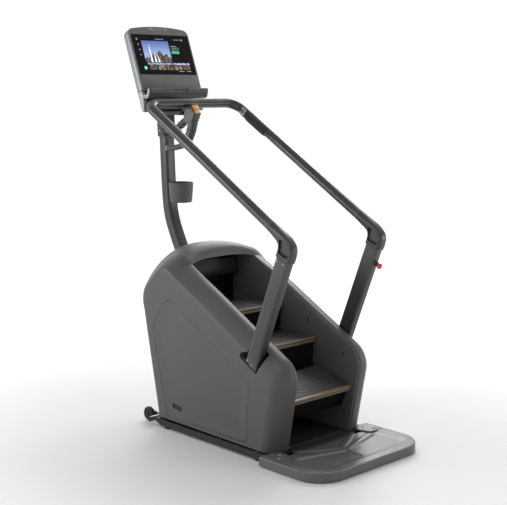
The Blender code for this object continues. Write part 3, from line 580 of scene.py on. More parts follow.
def build_door(side, label):
    """Access door: a rim at the seam, a shallow slope and a gently crowned field, with a finger pull."""
    outline = rounded([(y + dy, z + dz, r) for (y, z, r), (dy, dz) in
                       zip(DOOR, ((0.0018, 0.0018), (0.0018, -0.0012), (0, -0.0026), (-0.0022, 0),
                                  (-0.0018, 0.0018)))], 12)
    count = 150
    loop = resample(outline, count, closed=True)
    centre = sum(loop, V2(0, 0)) / count
    rings = []
    for inset, depth in ((0, 0.0035), (0, 0.0006), (0.003, 0.0), (0.012, 0.0002), (0.03, 0.0016), (0.05, 0.003),
                         (0.07, 0.0034), (0.1, 0.003), (0.15, 0.0016), (0.2, 0.0008)):
        ring = []
        for p in loop:
            way = centre - p
            ring.append(at(side * (OUTER - depth), p + way.normalized() * min(inset, way.length * 0.98)))
        rings.append(ring)
    mesh = facing(domed(rings, at(side * (OUTER - 0.0006), centre)), (side, 0, 0))
    door = add("access_door_" + label, mesh, COVER, smooth=0, replaces=("access_panel_" + label,))
    thicken(door, 0.0022)
    keep(door)
    pull = rounded([(0.232, 0.121, 0.008), (0.232, 0.147, 0.008), (0.306, 0.154, 0.008), (0.306, 0.128, 0.008)], 5)
    carve(door, prism(pull, *between(side, 0.33, 0.35)), "pull")
    shade(door, 40)
    add("door_pull_cup_" + label, prism(pull, *between(side, 0.3335, 0.335)), DARK)
    lever = rounded([(0.24, 0.1285, 0.004), (0.24, 0.1365, 0.004), (0.299, 0.1435, 0.004), (0.299, 0.1355, 0.004)], 4)
    add("door_latch_" + label, prism(lever, *between(side, 0.3352, 0.34)), DARK)


POCKET = [(-0.2985, 0.62, 0.003), (-0.26, 0.529, 0.004), (-0.223, 0.521, 0.01), (-0.208, 0.497, 0.01),
          (-0.327, 0.429, 0.01), (-0.352, 0.47, 0.006), (-0.398, 0.62, 0.003)]


def ridge_height(y):
    """The sloping straight part of the side outline."""
    return 0.6624 + 0.564 * y


def build_pocket(side, label):
    """Dark socket that the post drops into."""
    outline = rounded(POCKET, 6)
    centre = V2(-0.3, 0.51)
    rings = [[at(side * x, centre.lerp(p, shrink)) for p in outline]
             for x, shrink in ((0.3412, 0.992), (0.29, 0.985), (0.2875, 0.975), (0.2875, 0.02))]
    mesh = sheet([ring + [ring[0]] for ring in rings], (side, 0, 0))
    cup = add("post_socket_" + label, mesh, DARK, smooth=40)
    thicken(cup, 0.001)
    keep(cup)
    rim = [p for p in outline if p.y < ridge_height(p.x) - 0.006]
    add("pocket_rim_" + label, free_pipe([at(side * OUTER, p) for p in rim], 0.0013, 8), COVER)
    for vertex in cup.data.vertices:
        vertex.co.z = min(vertex.co.z, ridge_height(vertex.co.y - SHIFT) + 0.004)


def build_rear():
    """Hood and rear cover across the whole width, between the two side covers."""
    split = 40
    for name, first, last, nodes, way in (("hood_shell", 0, split, ("hood",), (0, 0.3, 1)),
                                          ("rear_shell", split, REAR - 1, ("rear_cover",), (0, 1, 0))):
        rows = []
        for j in range(first, last + 1):
            limit = OUTER - ridge_radius(j, True) - 0.0004
            xs = [limit * math.sin(math.pi / 2 * k / 30) for k in range(31)]
            xs = [-x for x in reversed(xs[1:])] + xs
            rows.append([at(x, rear_point(j, abs(x))) for x in xs])
        if name == "hood_shell":
            rows.insert(0, [p + Vector((0, 0.012, 0.001)) for p in rows[0]])
        else:
            rows[0] = [p + Vector((0, 0, -0.0008)) for p in rows[0]]
        cover = add(name, sheet(rows, way), COVER, smooth=0, replaces=nodes)
        cover.data.shade_smooth()
        thicken(cover, 0.003, DARK)
        keep(cover)
        if name == "hood_shell":
            carve(cover, mast_mesh(0.003), "mast_hole")
        shade(cover, 40)
    rows = []
    for k in range(25):
        x = -0.2165 + 0.433 * k / 24
        top = rear_point(24, abs(x))
        rows.append([at(x, V2(0.392, 0.775)), at(x, V2(0.402, 0.815)), at(x, V2(0.412, 0.86)),
                     at(x, V2(0.42, min(0.92, top.y - 0.012)))])
    guard = add("inner_guard", sheet(rows, (0, -1, 0)), DARK)
    thicken(guard, 0.003)
    keep(guard)
    # dark gasket along the well's edge
    path = [at(0, p - n * 0.006) for p, n in zip(EDGE, OUT_EDGE)]
    for side, label in SIDES:
        line = [Vector((side * 0.2225, p.y, p.z)) for p in path[2:]]
        add("edge_gasket_" + label, free_pipe(line, 0.0014, 8), RUBBER)


# ------------------------------------------------------------------ mast, posts, rails
MAST = [(0.425, 0.0465), (0.48, 0.4), (0.548, 0.74), (0.59, 0.845), (0.632, 0.92), (0.676, 1.005), (0.706, 1.08),
        (0.722, 1.16), (0.733, 1.3), (0.744, 1.52)]


def mast_mesh(grow=0.0):
    path = curve_through([at(0, p) for p in MAST], 6)
    return pipe(path, oval(0.07 + 2 * grow, 0.06 + 2 * grow, 40, 5))


LEAN = math.radians(21.2)   # of the posts
POST_X, RAIL_X = 0.318, 0.313
STOP_Z = 0.915              # height of the emergency stop on the right post


def post_y(z):
    return -0.3 - math.tan(LEAN) * (z - 0.5)


def build_rails():
    add("mast_tube", mast_mesh(), COAT, replaces=("mast",))
    corner = V2(0.525, 1.703)
    low = V2(-0.424, 1.136)
    way = (corner - low).normalized()
    for side, label in SIDES:
        # post with an oblique foot
        path = [at(side * POST_X, (post_y(z), z)) for z in (0.395, 0.55, 0.75, 1.0)]
        post = add("post_tube_" + label, pipe(path, oval(0.05, 0.082, 48, 5)), COAT,
                   replaces=("post_" + label,), smooth=30)
        below = [(-0.5, 0.2), (-0.1, 0.2), (-0.1, 0.61), (-0.25, 0.4925), (-0.3215, 0.437), (-0.37, 0.466)]
        carve(post, prism([V2(*p) for p in below], side * 0.2, side * 0.4), "foot_cut")
        shade(post, 30)
        for k, (y, z) in enumerate(((-0.268, 0.4885), (-0.295, 0.4675))):
            screw("post_screw_%s_%d" % (label, k + 1), at(side * 0.3428, (y, z)), (side, 0, 0), 0.0058)
        build_elbow(side, label, low, way)
        # rail from the elbow round the bend to the middle of the bar
        a, b = at(side * RAIL_X, low), at(side * RAIL_X, corner)
        back, ahead = (a - b).normalized(), Vector((-side, 0, 0))
        radius = 0.075
        half = back.angle(ahead) / 2
        centre = b + (back + ahead).normalized() * radius / math.sin(half)
        start = b + back * radius / math.tan(half) - centre
        end = b + ahead * radius / math.tan(half) - centre
        axis, whole = start.cross(end).normalized(), start.angle(end)
        path = [a.lerp(centre + start, k / 12) for k in range(12)]
        path += [centre + Matrix.Rotation(whole * k / 16, 3, axis) @ start for k in range(17)]
        tail = path[-1]
        path += [tail.lerp(Vector((side * 0.0002, tail.y, tail.z)), k / 6) for k in range(1, 7)]
        add("rail_tube_" + label, free_pipe(path, 0.026), COAT,
            replaces=("handrail_" + label,))
        build_grip(side, label, a, b)
    front = at(POST_X, (post_y(STOP_Z) - 0.041 / math.cos(LEAN), STOP_Z))
    out = Vector((0, -math.cos(LEAN), -math.sin(LEAN)))
    base = turned([(0.0004, 0.015), (0.003, 0.015), (0.0045, 0.0135), (0.012, 0.0125), (0.014, 0.011),
                   (0.014, 0.0066), (0.0085, 0.0064)], front, out, 32)
    add("estop_base", base, DARK, replaces=("estop_housing",))
    ball = [(0.0145, 0.0058), (0.0215, 0.0058), (0.0225, 0.0105), (0.0245, 0.014), (0.0275, 0.0155), (0.031, 0.0152),
            (0.0345, 0.0135), (0.0375, 0.0105), (0.0395, 0.006), (0.04, 0.001)]
    add("estop_knob", turned(ball, front, out, 36), RED, "estop_button", replaces=("estop_button",))


def build_elbow(side, label, low, way):
    """Cast elbow: filled inner corner, smooth outer band, and a recessed web on both faces."""
    out = V2(-way.y, way.x) * 0.0266
    inner = [(-0.4505, 1.02), (-0.4575, 1.036), (-0.463, 1.0563), (-0.462, 1.0715), (-0.455, 1.084), (-0.442, 1.094),
             low - out - way * 0.004, low - out + way * 0.03]
    outer = [(-0.5376, 0.9859), (-0.5501, 1.012), (-0.5568, 1.0429), (-0.5527, 1.0688), (-0.5341, 1.0932),
             (-0.5083, 1.1155), low + out - way * 0.03, low + out + way * 0.03]
    count = 44
    inner = resample(curve_through([V2(*p) for p in inner], 10), count)
    outer = resample(curve_through([V2(*p) for p in outer], 10), count)
    rings = []
    for k, (a, b) in enumerate(zip(inner, outer)):
        t = ease(k / (count - 1))
        middle, reach = (a + b) / 2, b - a
        section = oval(0.0514 + 0.0016 * t, 1.0, 56, 6.0 - 4.0 * t)
        rings.append([at(side * (POST_X - 0.005 * t) + x, middle + reach * r) for x, r in section])
    elbow = add("elbow_cast_" + label, skin(rings), COAT, replaces=("elbow_" + label,), smooth=30)
    web = rounded([(-0.4755, 1.095, 0.003), (-0.485, 1.1005, 0.003), (-0.515, 1.086, 0.02), (-0.5385, 1.056, 0.025),
                   (-0.536, 1.013, 0.008), (-0.516, 1.014, 0.006), (-0.469, 1.034, 0.004), (-0.4765, 1.056, 0.006)],
                  6)
    slot = rounded([(-0.477, 1.093, 0.001), (-0.485, 1.0985, 0.001), (-0.4965, 1.09, 0.002), (-0.484, 1.076, 0.004),
                    (-0.48, 1.056, 0.002), (-0.4775, 1.056, 0.001)], 3)
    foot = rounded([(-0.472, 1.0345, 0.001), (-0.516, 1.016, 0.003), (-0.5335, 1.015, 0.004), (-0.5345, 1.024, 0.003),
                    (-0.518, 1.025, 0.003), (-0.4745, 1.0425, 0.001)], 3)
    # The black slot and foot plates on the floor of each web recess are painted shade: a dark strip along the
    # recess's inner side and a dark band along its bottom.
    for s, face in ((-1, "in"), (1, "out")):
        floor = 0.3165 + s * 0.0165
        carve(elbow, prism(web, *between(side, floor, 0.3165 + s * 0.04)), "web_" + face)
        for name, spots in (("slot", slot), ("foot", foot)):
            mesh = prism(spots, *between(side, floor - 0.001, floor + s * 0.0008))
            add("elbow_%s_%s_%s" % (name, face, label), mesh, RUBBER, smooth=0)
    shade(elbow, 30)
    for k, (y, z) in enumerate(((-0.4669, 0.9943), (-0.5066, 0.9831))):
        screw("elbow_screw_%s_%d" % (label, k + 1), at(side * 0.3424, (y, z)), (side, 0, 0), 0.0042, STEEL)


def build_grip(side, label, a, b):
    """Contoured rubber sleeve on the rail's inner side, with a metal sensor plate at its upper end."""
    way = (b - a).normalized()
    across = Vector((-side, 0, 0))
    down = way.cross(across)
    if down.z > 0:
        down = -down

    def patch(name, start, end, inner, outer, mat, node, steps=30):
        rings = []
        for i in range(steps + 1):
            t = i / steps
            spot = a + way * (start + (end - start) * t)
            shape = min(1.0, 6 * min(t, 1 - t) + 0.25)
            swell = (outer - inner) * shape
            angles = [math.radians(-60 + 160 * k / 20) for k in range(21)]
            ways = [across * math.cos(g) + down * math.sin(g) for g in angles]
            outside = [spot + w * (inner + swell * min(1, 5 * min(k, 20 - k) / 20 + 0.12))
                       for k, w in enumerate(ways)]
            inside = [spot + w * inner for w in reversed(ways)]
            rings.append(outside + inside)
        add(name, skin(rings), mat, replaces=(node,), smooth=45)
    patch("hand_grip_" + label, 0.8, 0.985, 0.0262, 0.0318, RUBBER, "grip_sleeve_" + label)
    patch("sensor_plate_" + label, 0.987, 1.026, 0.0262, 0.0298, COPPER, "pulse_sensor_" + label)


# ------------------------------------------------------------------ steps
SPROCKET_R, PITCH = 0.09, 0.282
TIPPED = 0.3665             # how far step 1 has turned round the lower sprocket, in radians
LOWER = V2(-0.195, 0.2407)
STEP_HALF = 0.216           # half width of the three open steps


def step_pose(number):
    """Nose point and turn of steps 1 to 3; step 1 has begun to tip round the lower sprocket."""
    travel = -TIPPED * SPROCKET_R + (number - 1) * PITCH
    turn = Matrix.Rotation(max(0.0, -travel / SPROCKET_R), 2)
    point = LOWER + turn @ (UP_OUT * SPROCKET_R) + ALONG * max(0.0, travel)
    return point + turn @ (ALONG * -0.1166 + UP_OUT * 0.1423), turn


def ridges(bars, to_world):
    """Low bars with chamfered sides: (start, end, width, height) in a plane, placed by to_world(a, b, up)."""
    verts, faces = [], []
    for (a0, b0), (a1, b1), width, height in bars:
        start, end = V2(a0, b0), V2(a1, b1)
        way = (end - start).normalized()
        side = V2(-way.y, way.x) * width / 2
        base = len(verts)
        for scale, level in ((1.0, -0.0004), (0.45, height)):
            inset = way * (0 if scale == 1.0 else width * 0.6)
            for spot, s in ((start + inset, 1), (start + inset, -1), (end - inset, -1), (end - inset, 1)):
                p = spot + side * s * scale
                verts.append(to_world(p.x, p.y, level))
        faces += [(base + 3, base + 2, base + 1, base), (base + 4, base + 5, base + 6, base + 7)]
        faces += [(base + k, base + (k + 1) % 4, base + 4 + (k + 1) % 4, base + 4 + k) for k in range(4)]
    return mesh_of(verts, faces)


def build_steps():
    for number in (1, 2, 3):
        nose, turn = step_pose(number)
        body = "step_%d" % number

        def spot(x, along, up):
            return at(x, nose + turn @ V2(along, up))

        def local_prism(corners, x0, x1, steps=4):
            return prism([nose + turn @ p for p in rounded(corners, steps)], x0, x1)
        tread = [(0.0206, 0, 0.0015), (0.218, 0, 0.003), (0.218, -0.024, 0.003), (0.034, -0.024, 0.004),
                 (0.034, -0.128, 0.002), (0.024, -0.128, 0.002), (0.024, -0.034, 0.001), (0.0206, -0.034, 0.001)]
        plate = add("tread_%d" % number, local_prism(tread, -STEP_HALF, STEP_HALF), STEP, body,
                    replaces=(body,))
        bevel(plate, 0.0012, 2)
        bars = []
        for start in (0.03, 0.057, 0.084, 0.111, 0.138, 0.165):
            for s in (-1, 1):
                reach = min(0.2, (0.206 - start) / 0.24)
                bars.append(((s * 0.016, start + 0.004), (s * reach, start + 0.24 * reach), 0.0095, 0.0021))
        add("tread_ribs_%d" % number, ridges(bars, spot), STEP, body, smooth=0)
        bars = [((s * 0.21, 0.028), (s * 0.21, 0.212), 0.008, 0.0016) for s in (-1, 1)]
        add("tread_edges_%d" % number, ridges(bars, spot), STEP, body, smooth=0)
        slats = [((-0.21 + 0.42 * k / 50, -0.04), (-0.21 + 0.42 * k / 50, -0.126), 0.0045, 0.0011) for k in range(51)]
        # Riser panel and slats in near-black are painted shade; the panel is a dark sheet in front of the riser where
        # shadow falls under the nosing.
        panel = [(0.0235, -0.036, 0), (0.0243, -0.036, 0), (0.0243, -0.127, 0), (0.0235, -0.127, 0)]
        add("riser_panel_%d" % number, local_prism(panel, -0.2145, 0.2145), RISER_SHADE, body)
        mesh = ridges(slats, lambda a, b, up: spot(a, 0.0234 - up, b))
        add("riser_slats_%d" % number, mesh, RISER_SHADE, body, smooth=0)
        carrier = [(0.02, -0.0335, 0), (0.02, -0.0006, 0.001), (0.003, -0.0006, 0.0008), (0.003, -0.0235, 0.0008),
                   (0.013, -0.0335, 0.001)]
        add("nosing_carrier_%d" % number, local_prism(carrier, -0.214, 0.214), RUBBER, body)
        strips = [[(0.018, -0.0003, 0.0008), (-0.0002, -0.0003, 0.0024), (-0.0002, -0.01, 0.0018), (0.0034, -0.01, 0),
                   (0.0034, -0.0025, 0), (0.018, -0.0025, 0)],
                  [(0.0034, -0.0138, 0), (-0.0002, -0.0138, 0.0018), (-0.0002, -0.024, 0.0024),
                   (0.006, -0.0268, 0.001),
                   (0.008, -0.025, 0)]]
        mesh = joined([local_prism(strip, -0.213, 0.213) for strip in strips])
        add("nosing_strips_%d" % number, mesh, TAN, body, replaces=("nosing_%d" % number,))
        for s, label in SIDES:
            cap = [(0.019, 0.0001, 0.001), (-0.0008, 0.0001, 0.002), (-0.0008, -0.0245, 0.002), (0.019, -0.03, 0.001)]
            add("nosing_end_%s_%d" % (label, number), local_prism(cap, *between(s, 0.2115, 0.2157)), STEP, body,
                smooth=30)
        for k, x in enumerate((-0.15, 0.15)):
            screw("tread_screw_%d_%d" % (number, k + 1), spot(x, 0.2135, 0), spot(0, 0, 1) - spot(0, 0, 0), 0.0034,
                  STEEL,
                  body)


# ------------------------------------------------------------------ platform and base
FRONT_Y, REAR_Y, HALF, CORNER_R = -0.8, -0.4, 0.392, 0.15
RIM_Z, FIELD_Z = 0.05, 0.0438   # the platform's rim and the field inside it


def edge_distance(x, y):
    """How far inside the platform's D-shaped outline a point lies (its straight rear edge left out)."""
    qx, qy = abs(x) - (HALF - CORNER_R), (FRONT_Y + CORNER_R) - y
    outside = math.hypot(max(qx, 0), max(qy, 0))
    return CORNER_R - outside - min(max(qx, qy), 0)


def ease(t):
    """0 to 1 with soft ends."""
    t = min(1.0, max(0.0, t))
    return t * t * (3 - 2 * t)


def bar_height(x, y, a, b, half, slope):
    """1 on a bar from a to b, easing to 0 over slope."""
    p, a, b = V2(x, y), V2(*a), V2(*b)
    t = min(1.0, max(0.0, (p - a).dot(b - a) / (b - a).length_squared))
    return 1 - ease(((p - a.lerp(b, t)).length - half) / slope)


PLATFORM_BARS = [((0.0, -0.578), (0.205, -0.462), 0.008), ((0.02, -0.6), (0.262, -0.534), 0.009),
                 ((0.0, -0.6), (0.0, -0.716), 0.006)]


def platform_top(x, y):
    inside = edge_distance(x, y)
    rim = RIM_Z - 0.0062 * ease((inside - 0.045) / 0.03)
    for a, b, half in PLATFORM_BARS:
        rim = max(rim, FIELD_Z + 0.0058 * bar_height(abs(x), y, a, b, half, 0.016))
    hollow = ease((inside - 0.078) / 0.006) * ease((abs(x) - 0.018) / 0.008)
    hollow *= ease((-0.545 - 0.24 * (0.26 - abs(x)) - y) / 0.006)
    return rim - 0.0012 * hollow


def on_floor(p, z):
    """Plan-view point p (x, y) at height z, in the frame."""
    return Vector((p[0], p[1] + SHIFT, z))


def build_platform():
    arc = []
    for side, start in ((-1, math.pi), (1, 1.5 * math.pi)):
        arc += [V2(side * (HALF - CORNER_R) + CORNER_R * math.cos(start + k * math.pi / 48),
                   FRONT_Y + CORNER_R + CORNER_R * math.sin(start + k * math.pi / 48)) for k in range(25)]
    border = resample([V2(-HALF, REAR_Y)] + arc + [V2(HALF, REAR_Y)], 150)
    border += [V2(HALF - 2 * HALF * k / 90, REAR_Y) for k in range(1, 90)]
    hub = V2(0, -0.585)

    def ring(inset):
        spots = []
        for p in border:
            way = hub - p
            q = p + way.normalized() * inset if inset < 0.02 else hub + (p - hub) * (1 - inset)
            spots.append(on_floor(q, platform_top(q.x, q.y)))
        return spots
    rings = [[on_floor(hub + (p - hub) * 0.985, 0.004) for p in border]]
    rings += [[on_floor(p, z) for p in border] for z in (0.0065, 0.044)]
    for k in range(1, 5):
        a = math.pi / 2 * k / 4
        inset = 0.006 * (1 - math.cos(a))
        rings.append([on_floor(p + (hub - p).normalized() * inset, 0.044 + 0.006 * math.sin(a)) for p in border])
    rings += [ring(max(k / 58, 0.0205)) for k in range(2, 58)]
    mesh = domed(rings, on_floor(hub, platform_top(*hub)), floor=True)
    deck = add("platform_shell", mesh, DECK, smooth=0, replaces=("entry_platform",))
    shade(deck, 50)
    carve(deck, box_mesh((-0.347, -0.472, 0), (0.347, -0.36, 0.0459)), "rails", tolerant=True)
    deck.data.set_sharp_from_angle(angle=math.radians(50))
    floor = [(-0.48, 0.0462, 0.0008), (-0.474, 0.0492, 0.002), (0.338, 0.0492, 0.001), (0.34, 0.0462, 0.0008)]
    add("well_floor", prism(rounded(floor, 3), -0.217, 0.217), DARK)
    # corner plates that hold the platform to the rails
    for side, label in SIDES:
        corners = [(-0.404, 0.272), (-0.404, 0.372), (-0.445, 0.378), (-0.528, 0.374), (-0.516, 0.286),
                   (-0.446, 0.268)]
        loop = [V2(side * x, y) for y, x in corners]
        soft = rounded([(p.x, p.y, 0.008) for p in loop], 4)
        mid = sum(soft, V2(0, 0)) / len(soft)
        rings = [[on_floor(mid + (p - mid) * grow, z) for p in soft]
                 for grow, z in ((1.0, 0.044), (1.0, 0.0506), (0.975, 0.0516))]
        add("corner_plate_" + label, skin(rings), DECK, smooth=30)
        for k, (x, y) in enumerate(((0.306, -0.452), (0.345, -0.49))):
            screw("plate_screw_%s_%d" % (label, k + 1), (side * x, y + SHIFT, 0.0515), (0, 0, 1), 0.0065, STEEL)


def box_mesh(low, high):
    (x0, y0, z0), (x1, y1, z1) = low, high
    return skin([[on_floor(p, z) for p in ((x0, y0), (x1, y0), (x1, y1), (x0, y1))] for z in (z0, z1)])


def build_base():
    """Small fittings round the base; the frame itself is the CAD node with softened edges."""
    for side, label in SIDES:
        axle = at(side * 0.313, (0.536, 0.0402))
        for k, y in enumerate((0.3665, -0.0683, -0.3352)):
            tab = rounded([(y - 0.009, 0.0462, 0.002), (y - 0.009, 0.049, 0.001), (y + 0.009, 0.049, 0.001),
                           (y + 0.009, 0.0462, 0.002)], 3)
            add("cover_clip_%s_%d" % (label, k + 1), prism(tab, side * 0.33, side * 0.3475), DARK, smooth=30)
            screw("clip_screw_%s_%d" % (label, k + 1), at(side * 0.3474, (y, 0.0476)), (side, 0, 0), 0.0013, STEEL)
        tyre = [(-0.013, 0.0064), (-0.013, 0.028), (-0.0112, 0.0345), (-0.008, 0.0375), (-0.003, 0.038),
                (0.003, 0.038),
                (0.008, 0.0375), (0.0112, 0.0345), (0.013, 0.028), (0.0128, 0.024), (0.0105, 0.0225), (0.0105, 0.012),
                (0.013, 0.0105), (0.013, 0.0064)]
        wheel = turned_ring(tyre, axle, (side, 0, 0), 48)
        add("transport_tyre_" + label, wheel, RUBBER, label + "_wheel",
            replaces=("transport_wheel_" + label,))
        spokes = []
        for k in range(5):
            a = 2 * math.pi * k / 5
            way = V2(math.cos(a), math.sin(a))
            across = V2(-way.y, way.x) * 0.0022
            ring = (way * 0.011 + across, way * 0.011 - across, way * 0.0232 - across, way * 0.0232 + across)
            spokes.append(skin([[axle + Vector((side * dx, p.x, p.y)) for p in ring] for dx in (0.009, 0.012)]))
        add("wheel_spokes_" + label, joined(spokes), DARK, label + "_wheel", smooth=0)
        end = turned([(0, 0.0), (0, 0.0142), (0.003, 0.0142), (0.0052, 0.012), (0.006, 0.008), (0.0062, 0.0)],
                     at(side * 0.3621, (0.47, 0.034)), (side, 0, 0), 32)
        add("bar_cap_" + label, end, RUBBER)
        for k, spot in enumerate(((-0.1382, 0.5851), (-0.3849, 0.4466), (0.11, 0.727), (-0.4, 0.15))):
            screw("wall_screw_%s_%d" % (label, k + 1), at(side * 0.2179, spot), (-side, 0, 0), 0.0068, RUBBER)
        feet = turned([(0, 0.0255), (0.004, 0.0265), (0.008, 0.0265), (0.0105, 0.025)], (0, 0, 0), (0, 0, 1), 40)
        for y, place in ((-0.33, "front"), (0.36, "rear")):
            pad = feet.copy()
            pad.transform(Matrix.Translation((side * 0.318, y + SHIFT, 0.0)))
            add("foot_pad_%s_%s" % (place, label), pad, RUBBER)


def turned_ring(profile, centre, axis, sides=32):
    """Closed profile (along, radius) that does not touch its axis."""
    turn = Vector(axis).to_track_quat("Z", "Y")
    rings = []
    for k in range(sides):
        a = 2 * math.pi * k / sides
        rings.append([Vector(centre) + turn @ Vector((r * math.cos(a), r * math.sin(a), along)) for along,
                      r in profile])
    return skin(rings, closed=True)


# ------------------------------------------------------------------ console
TILT = math.radians(20.7)
CONSOLE_Y, CONSOLE_Z = 0.718, 1.858     # middle of the glass's lower edge


def on_console(x, up, out):
    """Point on the tilted console: x across, up along the glass, out towards the user."""
    c, s = math.cos(TILT), math.sin(TILT)
    return Vector((x, CONSOLE_Y + SHIFT + up * s - out * c, CONSOLE_Z + up * c + out * s))


def arched(half, low, high, rise, corner, grow=0.0):
    """Outline with rounded corners and an arched top edge; grow offsets it outward."""
    half, low, high, corner = half + grow, low - grow, high + grow, corner + grow
    loop = []
    for cx, cy, start in ((-1, 0, math.pi), (1, 0, 1.5 * math.pi), (1, 1, 0.0), (-1, 1, 0.5 * math.pi)):
        r = corner if cy else min(corner, 0.012 + max(grow, 0))
        for k in range(9):
            a = start + k * math.pi / 16
            loop.append((cx * (half - r) + r * math.cos(a), (high - r if cy else low + r) + r * math.sin(a)))
        if (cx, cy) == (1, 1):
            loop += [(half - corner - (half - corner) * 2 * t / 12, high) for t in range(1, 12)]
        if (cx, cy) == (1, 0):
            loop += [(half, low + (high - low) * t / 6) for t in range(1, 6)]
    return [(x, y + (rise * (1 - (x / half) ** 2) if y > high - corner * 1.05 else 0)) for x, y in loop]


def plate_on_console(loops):
    return skin([[on_console(x, up, out) for x, up in loop] for out, loop in loops])


def quad_loop(x0, x1, low, high, r=0.0, n=4):
    if not r:
        return [(x0, low), (x1, low), (x1, high), (x0, high)]
    return [(p.x, p.y) for p in rounded([(x0, low, r), (x1, low, r), (x1, high, r), (x0, high, r)], n)]


def build_console():
    shape = dict(half=0.21, low=-0.094, high=0.26, rise=0.019, corner=0.03)
    loops = [(-0.0104, arched(**shape, grow=-0.0002)), (-0.003, arched(**shape)),
             (-0.0012, arched(**shape, grow=-0.0006)),
             (0.0, arched(**shape, grow=-0.0026))]
    face = add("console_face", plate_on_console(loops), CONSOLE, smooth=0,
               replaces=("console_bezel",))
    cutter = skin([[on_console(x, up, out) for x, up in quad_loop(-0.2003, 0.2003, -0.0013, 0.2303, 0.004)]
                   for out in (-0.0042, 0.01)])
    carve(face, cutter, "glass_seat")
    vent = [(-0.074, 0.2735), (0.074, 0.2735), (0.06, 0.256), (-0.056, 0.256)]
    cutter = skin([[on_console(p.x, p.y, out) for p in rounded([(x, up, 0.003) for x, up in vent], 3)]
                   for out in (-0.003, 0.01)])
    carve(face, cutter, "vent_seat")
    shade(face, 28)
    glass = [(-0.004, quad_loop(-0.1998, 0.1998, -0.0008, 0.2298, 0.0035)),
             (-0.0004, quad_loop(-0.1998, 0.1998, -0.0008, 0.2298, 0.0035)),
             (0.0, quad_loop(-0.1993, 0.1993, -0.0003, 0.2293, 0.003))]
    add("touch_glass", plate_on_console(glass), GLASS, replaces=("display_glass",))
    mid = (sum(x for x, _ in vent) / 4, sum(up for _, up in vent) / 4)
    inner = rounded([(mid[0] + (x - mid[0]) * 0.975, mid[1] + (up - mid[1]) * 0.88, 0.003) for x, up in vent], 3)
    add("vent_plate", plate_on_console([(out, [(p.x, p.y) for p in inner]) for out in (-0.003, -0.001)]), GREY_TRIM,
        smooth=30)
    bars = [((mid[0] - 0.046 + 0.0015 * k, mid[1] - 0.0045 + 0.003 * k),
             (mid[0] + 0.046 - 0.0015 * k + 0.003, mid[1] - 0.0045
              + 0.003 * k), 0.0013, 0.0004) for k in range(4)]
    add("vent_slots", ridges(bars, lambda a, b, up: on_console(a, b, -0.0009 + up)), DARK, smooth=0)
    # housing: silver side band with a dark seam, then a charcoal back that tapers
    band = [(-0.0106, arched(**shape, grow=-0.0016)), (-0.012, arched(**shape, grow=0.0)),
            (-0.025, arched(**shape, grow=0.0)),
            (-0.0262, arched(**shape, grow=-0.001))]
    add("console_band", plate_on_console(band), SILVER, smooth=25)
    seam = [(out, arched(**shape, grow=-0.003)) for out in (-0.0262, -0.0278)]
    add("console_seam", plate_on_console(seam), DARK, smooth=25)
    second = [(-0.0278, arched(**shape, grow=-0.0012)), (-0.029, arched(**shape, grow=-0.0002)),
              (-0.042, arched(**shape, grow=-0.001)), (-0.0435, arched(**shape, grow=-0.002))]
    add("console_band_rear", plate_on_console(second), SILVER, smooth=25)
    back = [(out, [(x * scale, up) for x, up in arched(0.21, low, 0.26, 0.015, 0.03, grow * 0.5)])
            for out, grow, low, scale in ((-0.0435, -0.004, -0.2, 1.0), (-0.05, -0.005, -0.2, 0.995),
                                          (-0.06, -0.012, -0.198, 0.97),
                                          (-0.064, -0.02, -0.192, 0.94), (-0.0664, -0.032, -0.182, 0.9),
                                          (-0.067, -0.046, -0.17, 0.86))]
    add("console_back_shell", plate_on_console(back), CONSOLE, smooth=25,
        replaces=("console_back",))
    # sides run down behind the tray
    cheek = [(-0.0106, -0.09), (-0.043, -0.09), (-0.043, -0.196), (-0.03, -0.1985), (-0.0106, -0.13)]
    for side, label in SIDES:
        loops = []
        for x in (0.19, 0.208, 0.2096):
            shrink = 0.0012 if x > 0.209 else 0
            loops.append([on_console(side * x, up - shrink * (1 if up > -0.1 else -1), out) for out, up in cheek])
        add("console_cheek_" + label, skin(loops), SILVER, smooth=25)
    plug = [(out, quad_loop(-0.189, 0.189, -0.196, -0.0905, 0.004)) for out in (-0.015, -0.043)]
    add("console_chin", plate_on_console(plug), DARK, smooth=25)
    slots = [((-0.06 + 0.12 * k / 9, 0.15), (-0.06 + 0.12 * k / 9, 0.205), 0.005, 0.0008) for k in range(10)]
    add("rear_vent", ridges(slots, lambda a, b, up: on_console(a, b, -0.0668 - up)), DARK, smooth=0)
    build_screen()
    build_tray()


def tile(name, loop, mat, out=0.00015):
    add(name, skin([[on_console(x, up, o) for x, up in loop] for o in (0.00002, out)]), mat, smooth=0)


